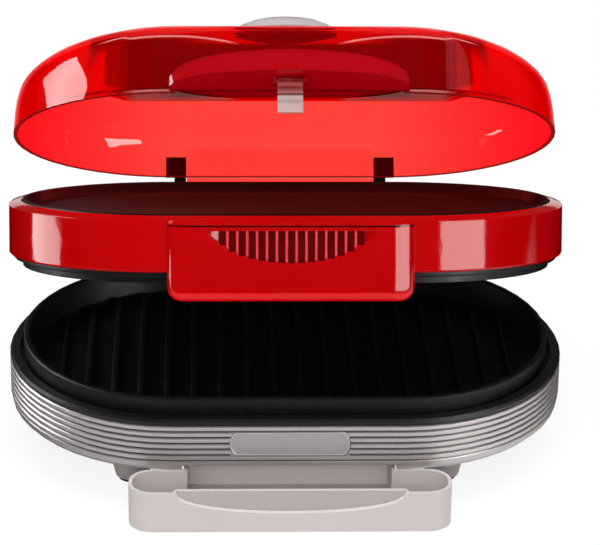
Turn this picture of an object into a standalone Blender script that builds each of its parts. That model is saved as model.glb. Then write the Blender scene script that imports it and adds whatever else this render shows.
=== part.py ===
"""Two-deck electric grill for making two hamburgers at once, standing open.

The base holds a ribbed pan over a slide-out drip tray. A middle unit with a
press plate below and a warming plate on top swings on a rear hinge, and a
translucent lid swings on the same axis. Units are metres, +Z is up, the front
faces -Y, and the origin lies on the table under the middle of the footprint.
Every piece is drawn in its closed place and carried by an empty on its axis.
"""

import math

import bmesh
import bpy
from mathutils import Matrix, Vector

MM = 0.001

# The base's middle lies this far in front of the origin, which is under the middle of
# the whole footprint with the tray in and the lid open
BASE_SHIFT = -12.2 * MM

# Fits shared by every piece
GAP = 0.3 * MM
SLIP = 0.4 * MM
OVERRUN = 12 * MM
OVERLAP = 0.5 * MM

# Oval plan outline shared by the base, the middle unit and the lid
HALF_WIDTH = 155 * MM
HALF_DEPTH = 100.5 * MM
HALF_STRAIGHT = 63 * MM
END_POINTS = 25

# Base shell with its fluted band
BASE_BOTTOM = 21.4 * MM
BASE_TOP = 50 * MM
BASE_WALL = 4 * MM
FLUTE_COUNT = 6
FLUTE_PITCH = 3.45 * MM
FLUTE_DEPTH = 1 * MM
FLUTE_LAND = 1.8 * MM
BAND_STEP = 1 * MM
BASE_TUCK = 7 * MM
BASE_TUCK_SHARES = ((0.06, 1), (0.14, 0.55), (0.5, 0.2), (1, 0))
BASE_LIP_WIDTH = 4 * MM
BASE_LIP_THICKNESS = 2.1 * MM
PLATE_HALF_WIDTH = 31 * MM
PLATE_LOW = 32 * MM
PLATE_HIGH = 46.3 * MM
PLATE_DEPTH = 1.6 * MM
PLATE_BULGE = 1.4 * MM
PLATE_CORNER = 2.4 * MM

# Black seat ring between the shell and the pan
RING_HEIGHT = 3.4 * MM
RING_WIDTH = 6.2 * MM
RING_EDGE = 1 * MM
RING_LEDGE = 4.3 * MM
RING_LEDGE_THICKNESS = 3.2 * MM

# Grill pan
PAN_GROOVE = 1.5 * MM
PAN_RIM_TOP = 62.8 * MM
PAN_RIM_WIDTH = 2.8 * MM
PAN_EDGE = 0.8 * MM
PAN_DRAFT = 3.8 * MM
PAN_FLOOR = 46 * MM
PAN_FLOOR_FILLET = 2 * MM
PAN_BOTTOM = 42.5 * MM
RIB_COUNT = 18
RIB_PITCH = 14.66 * MM
RIB_HEIGHT = 3.8 * MM
RIB_TOP_WIDTH = 2.4 * MM
RIB_FOOT_WIDTH = 4 * MM
RIB_END_GAP = 2.2 * MM
DRAIN_RADIUS = 2.6 * MM
DRAIN_WALL = 2 * MM
DRAIN_FROM_FLOOR_EDGE = 4 * MM

# Bottom cover, feet and screws
COVER_THICKNESS = 2.8 * MM
BAY_ROOF = 26.6 * MM
BAY_ROOF_THICKNESS = 2 * MM
BAY_SIDE = 3.4 * MM
SPOUT_BOTTOM = 25 * MM
POST_RADIUS = 4 * MM
POST_FROM_END = 83 * MM
POST_FROM_EDGE = 62.5 * MM
POST_X = HALF_WIDTH - POST_FROM_END
POST_Y = HALF_DEPTH - POST_FROM_EDGE
FOOT_FROM_END = 69.5 * MM
FOOT_FROM_EDGE = 40.5 * MM
FOOT_X = HALF_WIDTH - FOOT_FROM_END
FOOT_Y = HALF_DEPTH - FOOT_FROM_EDGE
FOOT_TOP_RADIUS = 14.5 * MM
FOOT_BOTTOM_RADIUS = 9.2 * MM
PAD_THICKNESS = 1.8 * MM
PAD_RADIUS = 7.6 * MM
SCREW_RADIUS = 3.2 * MM
SCREW_HEAD = 1.6 * MM
SCREW_FROM_END = 37 * MM
SCREW_X = HALF_WIDTH - SCREW_FROM_END

# Electrical pieces
TUBE_RADIUS = 3.2 * MM
TUBE_INSET = 42 * MM
TUBE_GAP_HALF = 14 * MM
REFLECTOR_THICKNESS = 1 * MM
REFLECTOR_INSET = 30 * MM
THERMOSTAT_RADIUS = 9 * MM
THERMOSTAT_HEIGHT = 6 * MM
THERMOSTAT_X = -35 * MM
FUSE_RADIUS = 2.6 * MM
FUSE_LENGTH = 22 * MM
FUSE_X = 25 * MM
TERMINAL_WIDTH = 34 * MM
TERMINAL_DEPTH = 11 * MM
TERMINAL_HEIGHT = 9 * MM
TERMINAL_FROM_BACK = 20.5 * MM
TERMINAL_Y = HALF_DEPTH - TERMINAL_FROM_BACK
INLET_RADIUS = 6 * MM
INLET_BORE = 3.4 * MM
INLET_FLANGE_RADIUS = 8.6 * MM
INLET_FLANGE = 2.4 * MM
INLET_OUTSIDE = 9 * MM
INLET_INSIDE = 5 * MM
INLET_Z = 36.5 * MM

# Drip tray
TRAY_OVERHANG = 26.5 * MM
TRAY_LOBE_TUCK = 2.3 * MM
TRAY_REACH = 27.5 * MM
TRAY_FRONT = HALF_DEPTH + TRAY_OVERHANG
TRAY_LOBE_BACK = HALF_DEPTH - TRAY_LOBE_TUCK
TRAY_BACK = HALF_DEPTH - TRAY_REACH
TRAY_HALF_WIDTH = 86.4 * MM
TRAY_HALF_TONGUE = 57 * MM
TRAY_RIM = 23.4 * MM
TRAY_RAISE = 0.6 * MM
TRAY_FLOOR = 2 * MM
TRAY_WALL = 2 * MM
TRAY_CORNER = 13 * MM
TRAY_BACK_CORNER = 4 * MM
TRAY_SIDE_CLEARANCE = 0.6 * MM
NOTCH_CLEARANCE = 0.9 * MM
GRIP_HALF_WIDTH = 61 * MM
GRIP_DROP = 12 * MM
GRIP_DEPTH = 3.6 * MM
GRIP_DIP_SHARE = 0.8
GRIP_DIP_STEPS = 16
ARC_STEPS = 6

# Hinge axis behind the base, shared by the middle unit and the lid
HINGE_BEHIND = 11.5 * MM
HINGE_Y = HALF_DEPTH + HINGE_BEHIND
HINGE_Z = 38 * MM
MIDDLE_OPEN = math.radians(15.9)
LID_OPEN = math.radians(34.5)
PIN_RADIUS = 3 * MM
PIN_CLEARANCE = 0.3 * MM
KNUCKLE_RADIUS = 8 * MM
KNUCKLE_WIDTH = 7 * MM
BRACKET_X = 42 * MM
BRACKET_PLATE = 2.6 * MM
BRACKET_PLATE_HALF_HEIGHT = 11 * MM
ARM_DEPTH = 8 * MM
ARM_PLATE = 3 * MM
PIN_OVERHANG = 1.5 * MM
MIDDLE_ARM_LOW = 78 * MM
MIDDLE_ARM_HIGH = 98 * MM
LID_ARM_FOOT = 0.6 * MM
LID_ARM_HEIGHT = 12 * MM
ARM_TOP_DEPTH = 6 * MM
FLANGE_WIDTH = 12 * MM
LEAF_LOW = 98.6 * MM
LEAF_RISE = 18 * MM

# Middle unit, in its closed place
MIDDLE_BOTTOM = 74.5 * MM
MIDDLE_SHOULDER = 102.8 * MM
MIDDLE_TOP = 104.3 * MM
MIDDLE_WALL = 2.8 * MM
MIDDLE_EDGE = 1 * MM
SHOULDER_WIDTH = 6.4 * MM
SHOULDER_EDGE = 0.6 * MM
SEAT_DROP = 4.5 * MM
SEAT_WIDTH = 3.4 * MM
SEAT_THICKNESS = 2.4 * MM
WARMER_RIM = 104.9 * MM
WARMER_RIM_WIDTH = 2.6 * MM
WARMER_FLOOR = 99.2 * MM
WARMER_DRAFT = 2.6 * MM
WARMER_FILLET = 1.6 * MM
WARMER_BELLY = 2.6 * MM
WARMER_EDGE = 0.7 * MM
PRESS_BOTTOM = 68 * MM
PRESS_STEP = 2.2 * MM
PRESS_RIM_INSET = 7.6 * MM
PRESS_RIM_WIDTH = 2.8 * MM
PRESS_FLANGE_RISE = 4 * MM
PRESS_RECESS = 2 * MM
PRESS_THICKNESS = 3.2 * MM
PRESS_RIB_HEIGHT = 2.8 * MM

# Front handle of the middle unit
HANDLE_HALF_WIDTH = 65.5 * MM
HANDLE_THICKNESS = 6.7 * MM
HANDLE_BOTTOM = 59.5 * MM
HANDLE_TOP = 103.4 * MM
HANDLE_CORNER = 7.5 * MM
HANDLE_TOP_CORNER = 3 * MM
HANDLE_SIDE_SWEEP = 12 * MM
HANDLE_LOW_SWEEP = 6.2 * MM
HANDLE_TOP_SWEEP = 2.4 * MM

# How far the grip's face has drawn in at a depth behind it: depth, side, and top or bottom
HANDLE_EDGE_SHARES = (
    (0.78, 0.07, 0.01), (0.58, 0.14, 0.07), (0.43, 0.24, 0.15), (0.33, 0.38, 0.24),
    (0.19, 0.6, 0.39), (0.075, 0.82, 0.61), (0, 1, 1),
)
SEAM_DROP = 3.9 * MM
SEAM_WIDTH = 1 * MM
SEAM_DEPTH = 1 * MM
SLOT_COUNT = 15
SLOT_PITCH = 5.2 * MM
SLOT_WIDTH = 3.8 * MM
SLOT_DEPTH = 3.4 * MM
SCOOP_TOP = 97.5 * MM
SCOOP_DROP = 17 * MM
SCOOP_HALF_WIDTH = 40.5 * MM
SCOOP_RUN_OUT = 6.4 * MM
SCOOP_TIP = 1 * MM

# Lid, in its closed place
LID_RIM = 104.1 * MM
LID_INSET = 1.1 * MM
LID_HEIGHT = 57.2 * MM
LID_WALL = 2.4 * MM
LID_RISE_SHARES = (
    (0, 0), (0.008, 0.2), (0.017, 0.32), (0.034, 0.437), (0.061, 0.518), (0.105, 0.598),
    (0.167, 0.678), (0.256, 0.757), (0.383, 0.837), (0.53, 0.915), (0.68, 0.975), (0.82, 1),
)
BITE_DEPTH = 22 * MM
BITE_HALF_BACK = 86 * MM
BITE_HALF_FRONT = 107 * MM
SADDLE_DEPTH = 6.3 * MM
SADDLE_HALF_WIDTH = 80 * MM
SADDLE_END = 48 * MM
SADDLE_LIFT = 1 * MM
SADDLE_FALL_SHARE = 1.5
SADDLE_STEPS = 12
SADDLE_ROWS = 5
LEDGE_THICKNESS = 1.6 * MM
GRIP_ARCH_HALF = 64.5 * MM
GRIP_ARCH_TOP = 126.6 * MM
GRIP_ARCH_TURN = math.radians(82)
GRIP_ARCH_STEPS = 14
GRIP_REACH = 14 * MM
GRIP_TOP_SETBACK = 9 * MM
GRIP_CREASE = 112.2 * MM
GRIP_BACK_SHARE = 0.8
GRIP_FULLNESS = 0.7
GRIP_WALL = 2.4 * MM
NOTCH_HALF_WIDTH = 62 * MM
NOTCH_DEPTH = 24 * MM
NOTCH_STOP = 1 * MM
LATCH_HALF_WIDTH = 6.8 * MM
LATCH_THICKNESS = 2 * MM
LATCH_TOP = 109.6 * MM
LATCH_BOTTOM = 90.2 * MM
LATCH_PIN_RADIUS = 0.9 * MM
LATCH_KNUCKLE = 2 * MM
LATCH_LUG = 2.4 * MM
LATCH_PIN_CLEARANCE = 0.2 * MM
BADGE_HALF_WIDTH = 31 * MM
BADGE_HALF_DEPTH = 24 * MM
BADGE_RISE = 9 * MM
BADGE_Y = -16 * MM
BADGE_SINK = 2.2 * MM

ROUND_SIDES = 24
KNUCKLE_SIDES = 16
SMALL_SIDES = 12


def clear_scene():
    """Empties the file that the script is run in."""
    for obj in list(bpy.data.objects):
        bpy.data.objects.remove(obj, do_unlink=True)


def new_collection(name):
    """A collection linked to the scene."""
    collection = bpy.data.collections.new(name)
    bpy.context.scene.collection.children.link(collection)
    return collection


def new_material(name, colour, roughness, metallic=0.0, transmission=0.0):
    """A plain material for one kind of plastic or metal."""
    material = bpy.data.materials.new(name)
    material.use_nodes = True
    shader = material.node_tree.nodes["Principled BSDF"]
    shader.inputs["Base Color"].default_value = (*colour, 1)
    shader.inputs["Roughness"].default_value = roughness
    shader.inputs["Metallic"].default_value = metallic
    shader.inputs["Transmission Weight"].default_value = transmission
    material.diffuse_color = (*colour, 1)
    return material


clear_scene()
PARTS = new_collection("hamburger_maker")
CUTTERS = new_collection("hamburger_maker_cutters")

RED_GLOSS = new_material("red_gloss", (0.47, 0.002, 0.006), 0.12)
RED_CLEAR = new_material("red_translucent", (0.75, 0.004, 0.008), 0.05, transmission=0.85)
SILVER = new_material("silver_paint", (0.42, 0.38, 0.38), 0.35, metallic=0.6)
BLACK_PLASTIC = new_material("black_plastic", (0.012, 0.011, 0.011), 0.4)
NONSTICK = new_material("nonstick_coating", (0.014, 0.012, 0.012), 0.45)
RUBBER = new_material("black_rubber", (0.02, 0.02, 0.02), 0.8)
STEEL = new_material("steel", (0.55, 0.55, 0.55), 0.3, metallic=1.0)
WARM_GREY = new_material("warm_grey_plastic", (0.62, 0.55, 0.54), 0.4)
CLEAR_PLASTIC = new_material("clear_plastic", (0.8, 0.78, 0.78), 0.1, transmission=0.7)
CERAMIC = new_material("white_ceramic", (0.8, 0.78, 0.74), 0.6)


class Frame:
    """An empty on a joint's axis, and the closed place of that axis."""

    def __init__(self, name, place, parent=None, tilt=0.0):
        self.place = Vector(place)
        self.empty = bpy.data.objects.new(name, None)
        PARTS.objects.link(self.empty)
        self.empty.location = self.place
        if parent:
            self.empty.parent = parent.empty
            self.empty.location = self.place - parent.place
        self.empty.rotation_euler.x = -tilt

    def carry(self, obj):
        """Hangs an object drawn in its closed place on this frame."""
        obj.parent = self.empty
        obj.matrix_parent_inverse = Matrix.Translation(-self.place)


LATCH_Y = -(HALF_DEPTH + GAP + HANDLE_THICKNESS + SLIP + LATCH_THICKNESS / 2)
LATCH_PIN_Z = LATCH_TOP - LATCH_KNUCKLE
BASE = Frame("base_frame", (0, 0, 0))
BASE.empty.location.y = BASE_SHIFT
MIDDLE = Frame("middle_hinge_axis", (0, HINGE_Y, HINGE_Z), BASE, MIDDLE_OPEN)
LID = Frame("lid_hinge_axis", (0, HINGE_Y, HINGE_Z), MIDDLE, LID_OPEN - MIDDLE_OPEN)
LATCH = Frame("lid_latch_axis", (0, LATCH_Y, LATCH_PIN_Z), LID)
TRAY = Frame("drip_tray_runner", (0, 0, TRAY_RAISE), BASE)


def to_object(name, mesh_data):
    """Makes an object from a bmesh, with its faces turned outwards."""
    bmesh.ops.recalc_face_normals(mesh_data, faces=mesh_data.faces)
    mesh = bpy.data.meshes.new(name)
    mesh_data.to_mesh(mesh)
    mesh_data.free()
    obj = bpy.data.objects.new(name, mesh)
    PARTS.objects.link(obj)
    return obj


def finish(obj, material, frame):
    """Gives a finished piece its material, its carrier and smooth round faces."""
    obj.data.materials.clear()
    obj.data.materials.append(material)
    obj.data.shade_smooth()
    obj.data.set_sharp_from_angle(angle=math.radians(32))
    frame.carry(obj)
    return obj


def apply_boolean(target, tool, operation, frame):
    """Cuts or joins the target with a tool, which becomes a hidden helper."""
    PARTS.objects.unlink(tool)
    CUTTERS.objects.link(tool)
    tool.hide_render = True
    tool.display_type = "WIRE"
    frame.carry(tool)
    modifier = target.modifiers.new(tool.name, "BOOLEAN")
    modifier.operation = operation
    modifier.object = tool


def cut(target, tool, frame):
    """Takes the tool's form away from the target."""
    apply_boolean(target, tool, "DIFFERENCE", frame)


def join(target, tool, frame):
    """Adds the tool's form to the target."""
    apply_boolean(target, tool, "UNION", frame)


def box(name, x, y, z):
    """A block between the two places given along each axis."""
    block = bmesh.new()
    corner = Vector((x[0], y[0], z[0]))
    size = Vector((x[1], y[1], z[1])) - corner
    bmesh.ops.create_cube(block, size=1)
    bmesh.ops.scale(block, vec=size, verts=block.verts)
    bmesh.ops.translate(block, vec=corner + size / 2, verts=block.verts)
    return to_object(name, block)


def rod(name, axis, centre, radius, length, end_radius=None, sides=ROUND_SIDES):
    """A cylinder or cone about X, Y or Z, whose second radius is at the far end."""
    turned = bmesh.new()
    turn = {
        "X": Matrix.Rotation(math.pi / 2, 4, "Y"),
        "Y": Matrix.Rotation(-math.pi / 2, 4, "X"),
        "Z": Matrix.Identity(4),
    }[axis]
    bmesh.ops.create_cone(
        turned, cap_ends=True, segments=sides, radius1=radius,
        radius2=radius if end_radius is None else end_radius, depth=length,
        matrix=Matrix.Translation(centre) @ turn,
    )
    return to_object(name, turned)


def loft(name, sections, ring=False):
    """Skins sections with equal point counts; a ring joins its last to its first."""
    skin = bmesh.new()
    rows = [[skin.verts.new(point) for point in section] for section in sections]
    pairs = list(zip(rows, rows[1:]))
    if ring:
        pairs.append((rows[-1], rows[0]))
    else:
        skin.faces.new(rows[0])
        skin.faces.new(rows[-1])
    for row, following in pairs:
        for i in range(len(row)):
            j = (i + 1) % len(row)
            skin.faces.new((row[i], row[j], following[j], following[i]))
    return to_object(name, skin)


def oval(inset, height):
    """The plan outline at a height, moved in from the overall oval by the inset."""
    points = []
    for side in (1, -1):
        for i in range(END_POINTS):
            angle = math.pi * (i / (END_POINTS - 1) - 0.5)
            points.append((
                side * (HALF_STRAIGHT + (HALF_WIDTH - HALF_STRAIGHT - inset) * math.cos(angle)),
                side * (HALF_DEPTH - inset) * math.sin(angle),
                height,
            ))
    return points


def oval_half_depth(x, inset):
    """How far the oval reaches from the middle line at the given x."""
    beyond = max(abs(x) - HALF_STRAIGHT, 0) / (HALF_WIDTH - HALF_STRAIGHT - inset)
    return (HALF_DEPTH - inset) * math.sqrt(max(1 - beyond * beyond, 0))


def oval_body(name, profile, ring=False):
    """A solid whose side follows a profile of (inset, height) round the oval."""
    return loft(name, [oval(inset, height) for inset, height in profile], ring)


def slab(name, outline, plane, low, high):
    """A flat outline drawn in a plane and given thickness between two places."""
    curve = bpy.data.curves.new(name, "CURVE")
    curve.dimensions = "2D"
    curve.fill_mode = "BOTH"
    curve.extrude = (high - low) / 2
    spline = curve.splines.new("POLY")
    spline.points.add(len(outline) - 1)
    for point, (across, up) in zip(spline.points, outline):
        point.co = (across, up, 0, 1)
    spline.use_cyclic_u = True
    middle = (low + high) / 2
    stand = {
        "XY": Matrix.Translation((0, 0, middle)),
        "XZ": Matrix.Translation((0, middle, 0)) @ Matrix.Rotation(math.pi / 2, 4, "X"),
        "YZ": Matrix.Translation((middle, 0, 0))
        @ Matrix(((0, 0, 1, 0), (1, 0, 0, 0), (0, 1, 0, 0), (0, 0, 0, 1))),
    }[plane]
    return curve_to_mesh(name, curve, stand)


def curve_to_mesh(name, curve, place):
    """Turns a curve into a closed mesh object that can be cut and joined."""
    guide = bpy.data.objects.new(name + "_guide", curve)
    PARTS.objects.link(guide)
    graph = bpy.context.evaluated_depsgraph_get()
    mesh = bpy.data.meshes.new_from_object(guide.evaluated_get(graph))
    solid = bmesh.new()
    solid.from_mesh(mesh)
    bmesh.ops.remove_doubles(solid, verts=solid.verts, dist=MM / 1000)
    bmesh.ops.transform(solid, matrix=place, verts=solid.verts)
    bpy.data.objects.remove(guide, do_unlink=True)
    bpy.data.meshes.remove(mesh)
    return to_object(name, solid)


def arc(centre, radius, start, end, steps=ARC_STEPS):
    """Points on an arc between two angles in degrees."""
    angles = [math.radians(start + (end - start) * i / steps) for i in range(steps + 1)]
    return [(centre[0] + radius * math.cos(a), centre[1] + radius * math.sin(a)) for a in angles]


def ribs(name, foot, tip, edge_inset):
    """The row of front-to-back grill ribs, which ends short of the plate's edge."""
    row = bmesh.new()
    for i in range(RIB_COUNT):
        x = RIB_PITCH * (i - (RIB_COUNT - 1) / 2)
        half_length = oval_half_depth(x, edge_inset + RIB_END_GAP)
        for corner in bmesh.ops.create_cube(row, size=1)["verts"]:
            at_tip = corner.co.z > 0
            width = RIB_TOP_WIDTH if at_tip else RIB_FOOT_WIDTH
            corner.co = (
                x + corner.co.x * width,
                corner.co.y * 2 * half_length,
                tip if at_tip else foot,
            )
    return to_object(name, row)


def heating_tube(name, centre_z, frame):
    """A tubular element that follows the oval and stops short at the back."""
    ring = oval(TUBE_INSET, centre_z)
    back = HALF_DEPTH - TUBE_INSET
    half = ring[END_POINTS:] + ring[:END_POINTS]
    route = [Vector((-TUBE_GAP_HALF, back, centre_z))]
    route += [Vector(point) for point in half]
    route.append(Vector((TUBE_GAP_HALF, back, centre_z)))
    curve = bpy.data.curves.new(name, "CURVE")
    curve.dimensions = "3D"
    curve.bevel_depth = TUBE_RADIUS
    curve.bevel_resolution = 1
    curve.use_fill_caps = True
    spline = curve.splines.new("POLY")
    spline.points.add(len(route) - 1)
    for point, place in zip(spline.points, route):
        point.co = (*place, 1)
    tube = curve_to_mesh(name, curve, Matrix.Identity(4))
    return finish(tube, STEEL, frame)


# Base shell: fluted outside, an inward lip below that carries the bottom cover

def base_shell():
    """The shell with its flutes, bare nameplate recess, tray notch and inlet hole."""
    profile = [(FLUTE_DEPTH, BASE_TOP)]
    for i in range(FLUTE_COUNT):
        crest = BASE_TOP - (i + 0.5) * FLUTE_PITCH
        profile.append((0, crest + FLUTE_LAND / 2))
        profile.append((0, crest - FLUTE_LAND / 2))
        profile.append((FLUTE_DEPTH, crest - FLUTE_PITCH / 2))
    band_top = BASE_TOP - FLUTE_COUNT * FLUTE_PITCH - BAND_STEP
    band = band_top - BASE_BOTTOM
    lip_inner = BASE_TUCK + BASE_LIP_WIDTH
    for inset_share, height_share in BASE_TUCK_SHARES:
        profile.append((BASE_TUCK * inset_share, BASE_BOTTOM + band * height_share))
    profile += [
        (lip_inner, BASE_BOTTOM),
        (lip_inner, BASE_BOTTOM + BASE_LIP_THICKNESS),
        (BASE_WALL, BASE_BOTTOM + BASE_LIP_THICKNESS),
        (BASE_WALL, BASE_TOP),
    ]
    shell = oval_body("base_shell", profile, ring=True)
    front = -HALF_DEPTH
    plate = [
        (PLATE_HALF_WIDTH - PLATE_BULGE, PLATE_LOW),
        (PLATE_HALF_WIDTH, PLATE_LOW + PLATE_CORNER / 2),
        (PLATE_HALF_WIDTH + PLATE_BULGE, PLATE_LOW + 2 * PLATE_CORNER),
        (PLATE_HALF_WIDTH + PLATE_BULGE, PLATE_HIGH - 2 * PLATE_CORNER),
        (PLATE_HALF_WIDTH, PLATE_HIGH - PLATE_CORNER / 2),
        (PLATE_HALF_WIDTH - PLATE_BULGE, PLATE_HIGH),
    ]
    plate += [(-x, z) for x, z in reversed(plate)]
    cut(shell, slab("nameplate_recess", plate, "XZ", front - OVERRUN, front + PLATE_DEPTH), BASE)
    notch = TRAY_HALF_TONGUE + NOTCH_CLEARANCE
    cut(shell, box(
        "tray_notch", (-notch, notch), (front - OVERRUN, front + BASE_TUCK + OVERRUN),
        (BASE_BOTTOM - OVERRUN, BAY_ROOF - GAP),
    ), BASE)
    cut(shell, rod(
        "inlet_hole", "Y", (0, HALF_DEPTH, INLET_Z), INLET_RADIUS + SLIP, 2 * OVERRUN,
    ), BASE)
    return finish(shell, SILVER, BASE)


COVER_BOTTOM = BASE_BOTTOM + BASE_LIP_THICKNESS + GAP
COVER_TOP = COVER_BOTTOM + COVER_THICKNESS
TUBE_Z = PAN_BOTTOM - GAP - TUBE_RADIUS
REFLECTOR_TOP = TUBE_Z - TUBE_RADIUS - GAP
REFLECTOR_BOTTOM = REFLECTOR_TOP - REFLECTOR_THICKNESS
LEDGE_TOP = BASE_TOP + GAP + GAP
LEDGE_INNER = RING_WIDTH + RING_LEDGE + SLIP
PAN_WALL_INSET = RING_WIDTH + PAN_GROOVE
BELLY_INSET = LEDGE_INNER + SLIP
PAN_FLOOR_INSET = PAN_WALL_INSET + PAN_RIM_WIDTH + PAN_DRAFT + PAN_FLOOR_FILLET
DRAIN_Y = -(HALF_DEPTH - PAN_FLOOR_INSET - DRAIN_FROM_FLOOR_EDGE)


def seat_ring():
    """The black ring on the shell's edge, with an inner ledge that carries the pan."""
    bottom = BASE_TOP + GAP
    top = bottom + RING_HEIGHT
    flange = BASE_WALL + SLIP
    ring = oval_body("seat_ring", [
        (RING_EDGE / 2, bottom),
        (0, bottom + RING_HEIGHT / 2),
        (RING_EDGE, top),
        (RING_WIDTH - RING_EDGE / 2, top + GAP),
        (RING_WIDTH, top - GAP),
        (RING_WIDTH, LEDGE_TOP),
        (LEDGE_INNER, LEDGE_TOP),
        (LEDGE_INNER, LEDGE_TOP - RING_LEDGE_THICKNESS),
        (flange, LEDGE_TOP - RING_LEDGE_THICKNESS),
        (flange, bottom),
    ], ring=True)
    return finish(ring, BLACK_PLASTIC, BASE)


def grill_pan():
    """The ribbed pan, cast with its drain spout."""
    step = LEDGE_TOP + GAP
    rim_inner = PAN_WALL_INSET + PAN_RIM_WIDTH
    foot_inset = PAN_FLOOR_INSET - PAN_FLOOR_FILLET
    pan = oval_body("grill_pan", [
        (BELLY_INSET + PAN_FLOOR_FILLET, PAN_BOTTOM),
        (BELLY_INSET, PAN_BOTTOM + PAN_FLOOR_FILLET),
        (BELLY_INSET, step),
        (PAN_WALL_INSET + PAN_EDGE, step),
        (PAN_WALL_INSET, PAN_RIM_TOP - PAN_EDGE),
        (PAN_WALL_INSET + PAN_EDGE, PAN_RIM_TOP),
        (rim_inner, PAN_RIM_TOP),
        (rim_inner + PAN_EDGE, PAN_RIM_TOP - PAN_EDGE),
        (foot_inset, PAN_FLOOR + PAN_FLOOR_FILLET),
        (PAN_FLOOR_INSET, PAN_FLOOR),
    ])
    join(pan, ribs(
        "pan_ribs", PAN_FLOOR - OVERLAP, PAN_FLOOR + RIB_HEIGHT, PAN_FLOOR_INSET,
    ), BASE)
    spout_top = PAN_BOTTOM + OVERLAP
    join(pan, rod(
        "pan_spout", "Z", (0, DRAIN_Y, (spout_top + SPOUT_BOTTOM) / 2),
        DRAIN_RADIUS + DRAIN_WALL, spout_top - SPOUT_BOTTOM,
    ), BASE)
    cut(pan, rod(
        "pan_drain", "Z", (0, DRAIN_Y, (PAN_FLOOR + SPOUT_BOTTOM) / 2),
        DRAIN_RADIUS, PAN_FLOOR - SPOUT_BOTTOM + 2 * OVERRUN,
    ), BASE)
    return finish(pan, NONSTICK, BASE)


def bottom_cover():
    """The floor of the base, raised over the drip tray, with the reflector's posts."""
    inset = BASE_WALL + SLIP
    cover = oval_body("bottom_cover", [(inset, COVER_BOTTOM), (inset, COVER_TOP)])
    bay_half = TRAY_HALF_TONGUE + TRAY_SIDE_CLEARANCE
    bay_back = -TRAY_BACK + TRAY_SIDE_CLEARANCE
    front = -(HALF_DEPTH - inset)
    join(cover, box(
        "bay_roof", (-bay_half - BAY_SIDE, bay_half + BAY_SIDE),
        (front, bay_back + BAY_SIDE), (COVER_TOP - OVERLAP, BAY_ROOF + BAY_ROOF_THICKNESS),
    ), BASE)
    cut(cover, box(
        "tray_bay", (-bay_half, bay_half), (front - OVERRUN, bay_back),
        (COVER_BOTTOM - OVERRUN, BAY_ROOF),
    ), BASE)
    cut(cover, rod(
        "spout_hole", "Z", (0, DRAIN_Y, BAY_ROOF), DRAIN_RADIUS + DRAIN_WALL + SLIP, 2 * OVERRUN,
    ), BASE)
    post_bottom = COVER_TOP - OVERLAP
    post_top = REFLECTOR_BOTTOM - GAP
    for side in (-1, 1):
        for end in (-1, 1):
            join(cover, rod(
                f"post_{side}_{end}", "Z",
                (side * POST_X, end * POST_Y, (post_bottom + post_top) / 2),
                POST_RADIUS, post_top - post_bottom, sides=SMALL_SIDES,
            ), BASE)
    for side in (-1, 1):
        cut(cover, rod(
            f"screw_seat_{side}", "Z", (side * SCREW_X, 0, COVER_BOTTOM),
            SCREW_RADIUS + GAP, 2 * SCREW_HEAD, sides=SMALL_SIDES,
        ), BASE)
        screw_top = COVER_BOTTOM + SCREW_HEAD - GAP
        screw = rod(
            "cover_screw_left" if side < 0 else "cover_screw_right", "Z",
            (side * SCREW_X, 0, screw_top - SCREW_HEAD / 2), SCREW_RADIUS, SCREW_HEAD, sides=SMALL_SIDES,
        )
        finish(screw, STEEL, BASE)
    return finish(cover, BLACK_PLASTIC, BASE)


def feet():
    """Four tapered feet under the bottom cover, each with a rubber pad."""
    foot_top = COVER_BOTTOM - GAP
    foot_bottom = PAD_THICKNESS + GAP
    for end, row in ((-1, "front"), (1, "rear")):
        for side, hand in ((-1, "left"), (1, "right")):
            x, y = side * FOOT_X, end * FOOT_Y
            foot = rod(
                f"foot_{row}_{hand}", "Z", (x, y, (foot_top + foot_bottom) / 2),
                FOOT_BOTTOM_RADIUS, foot_top - foot_bottom, FOOT_TOP_RADIUS,
            )
            finish(foot, SILVER, BASE)
            pad = rod(f"foot_pad_{row}_{hand}", "Z", (x, y, PAD_THICKNESS / 2), PAD_RADIUS, PAD_THICKNESS)
            finish(pad, RUBBER, BASE)


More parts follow.
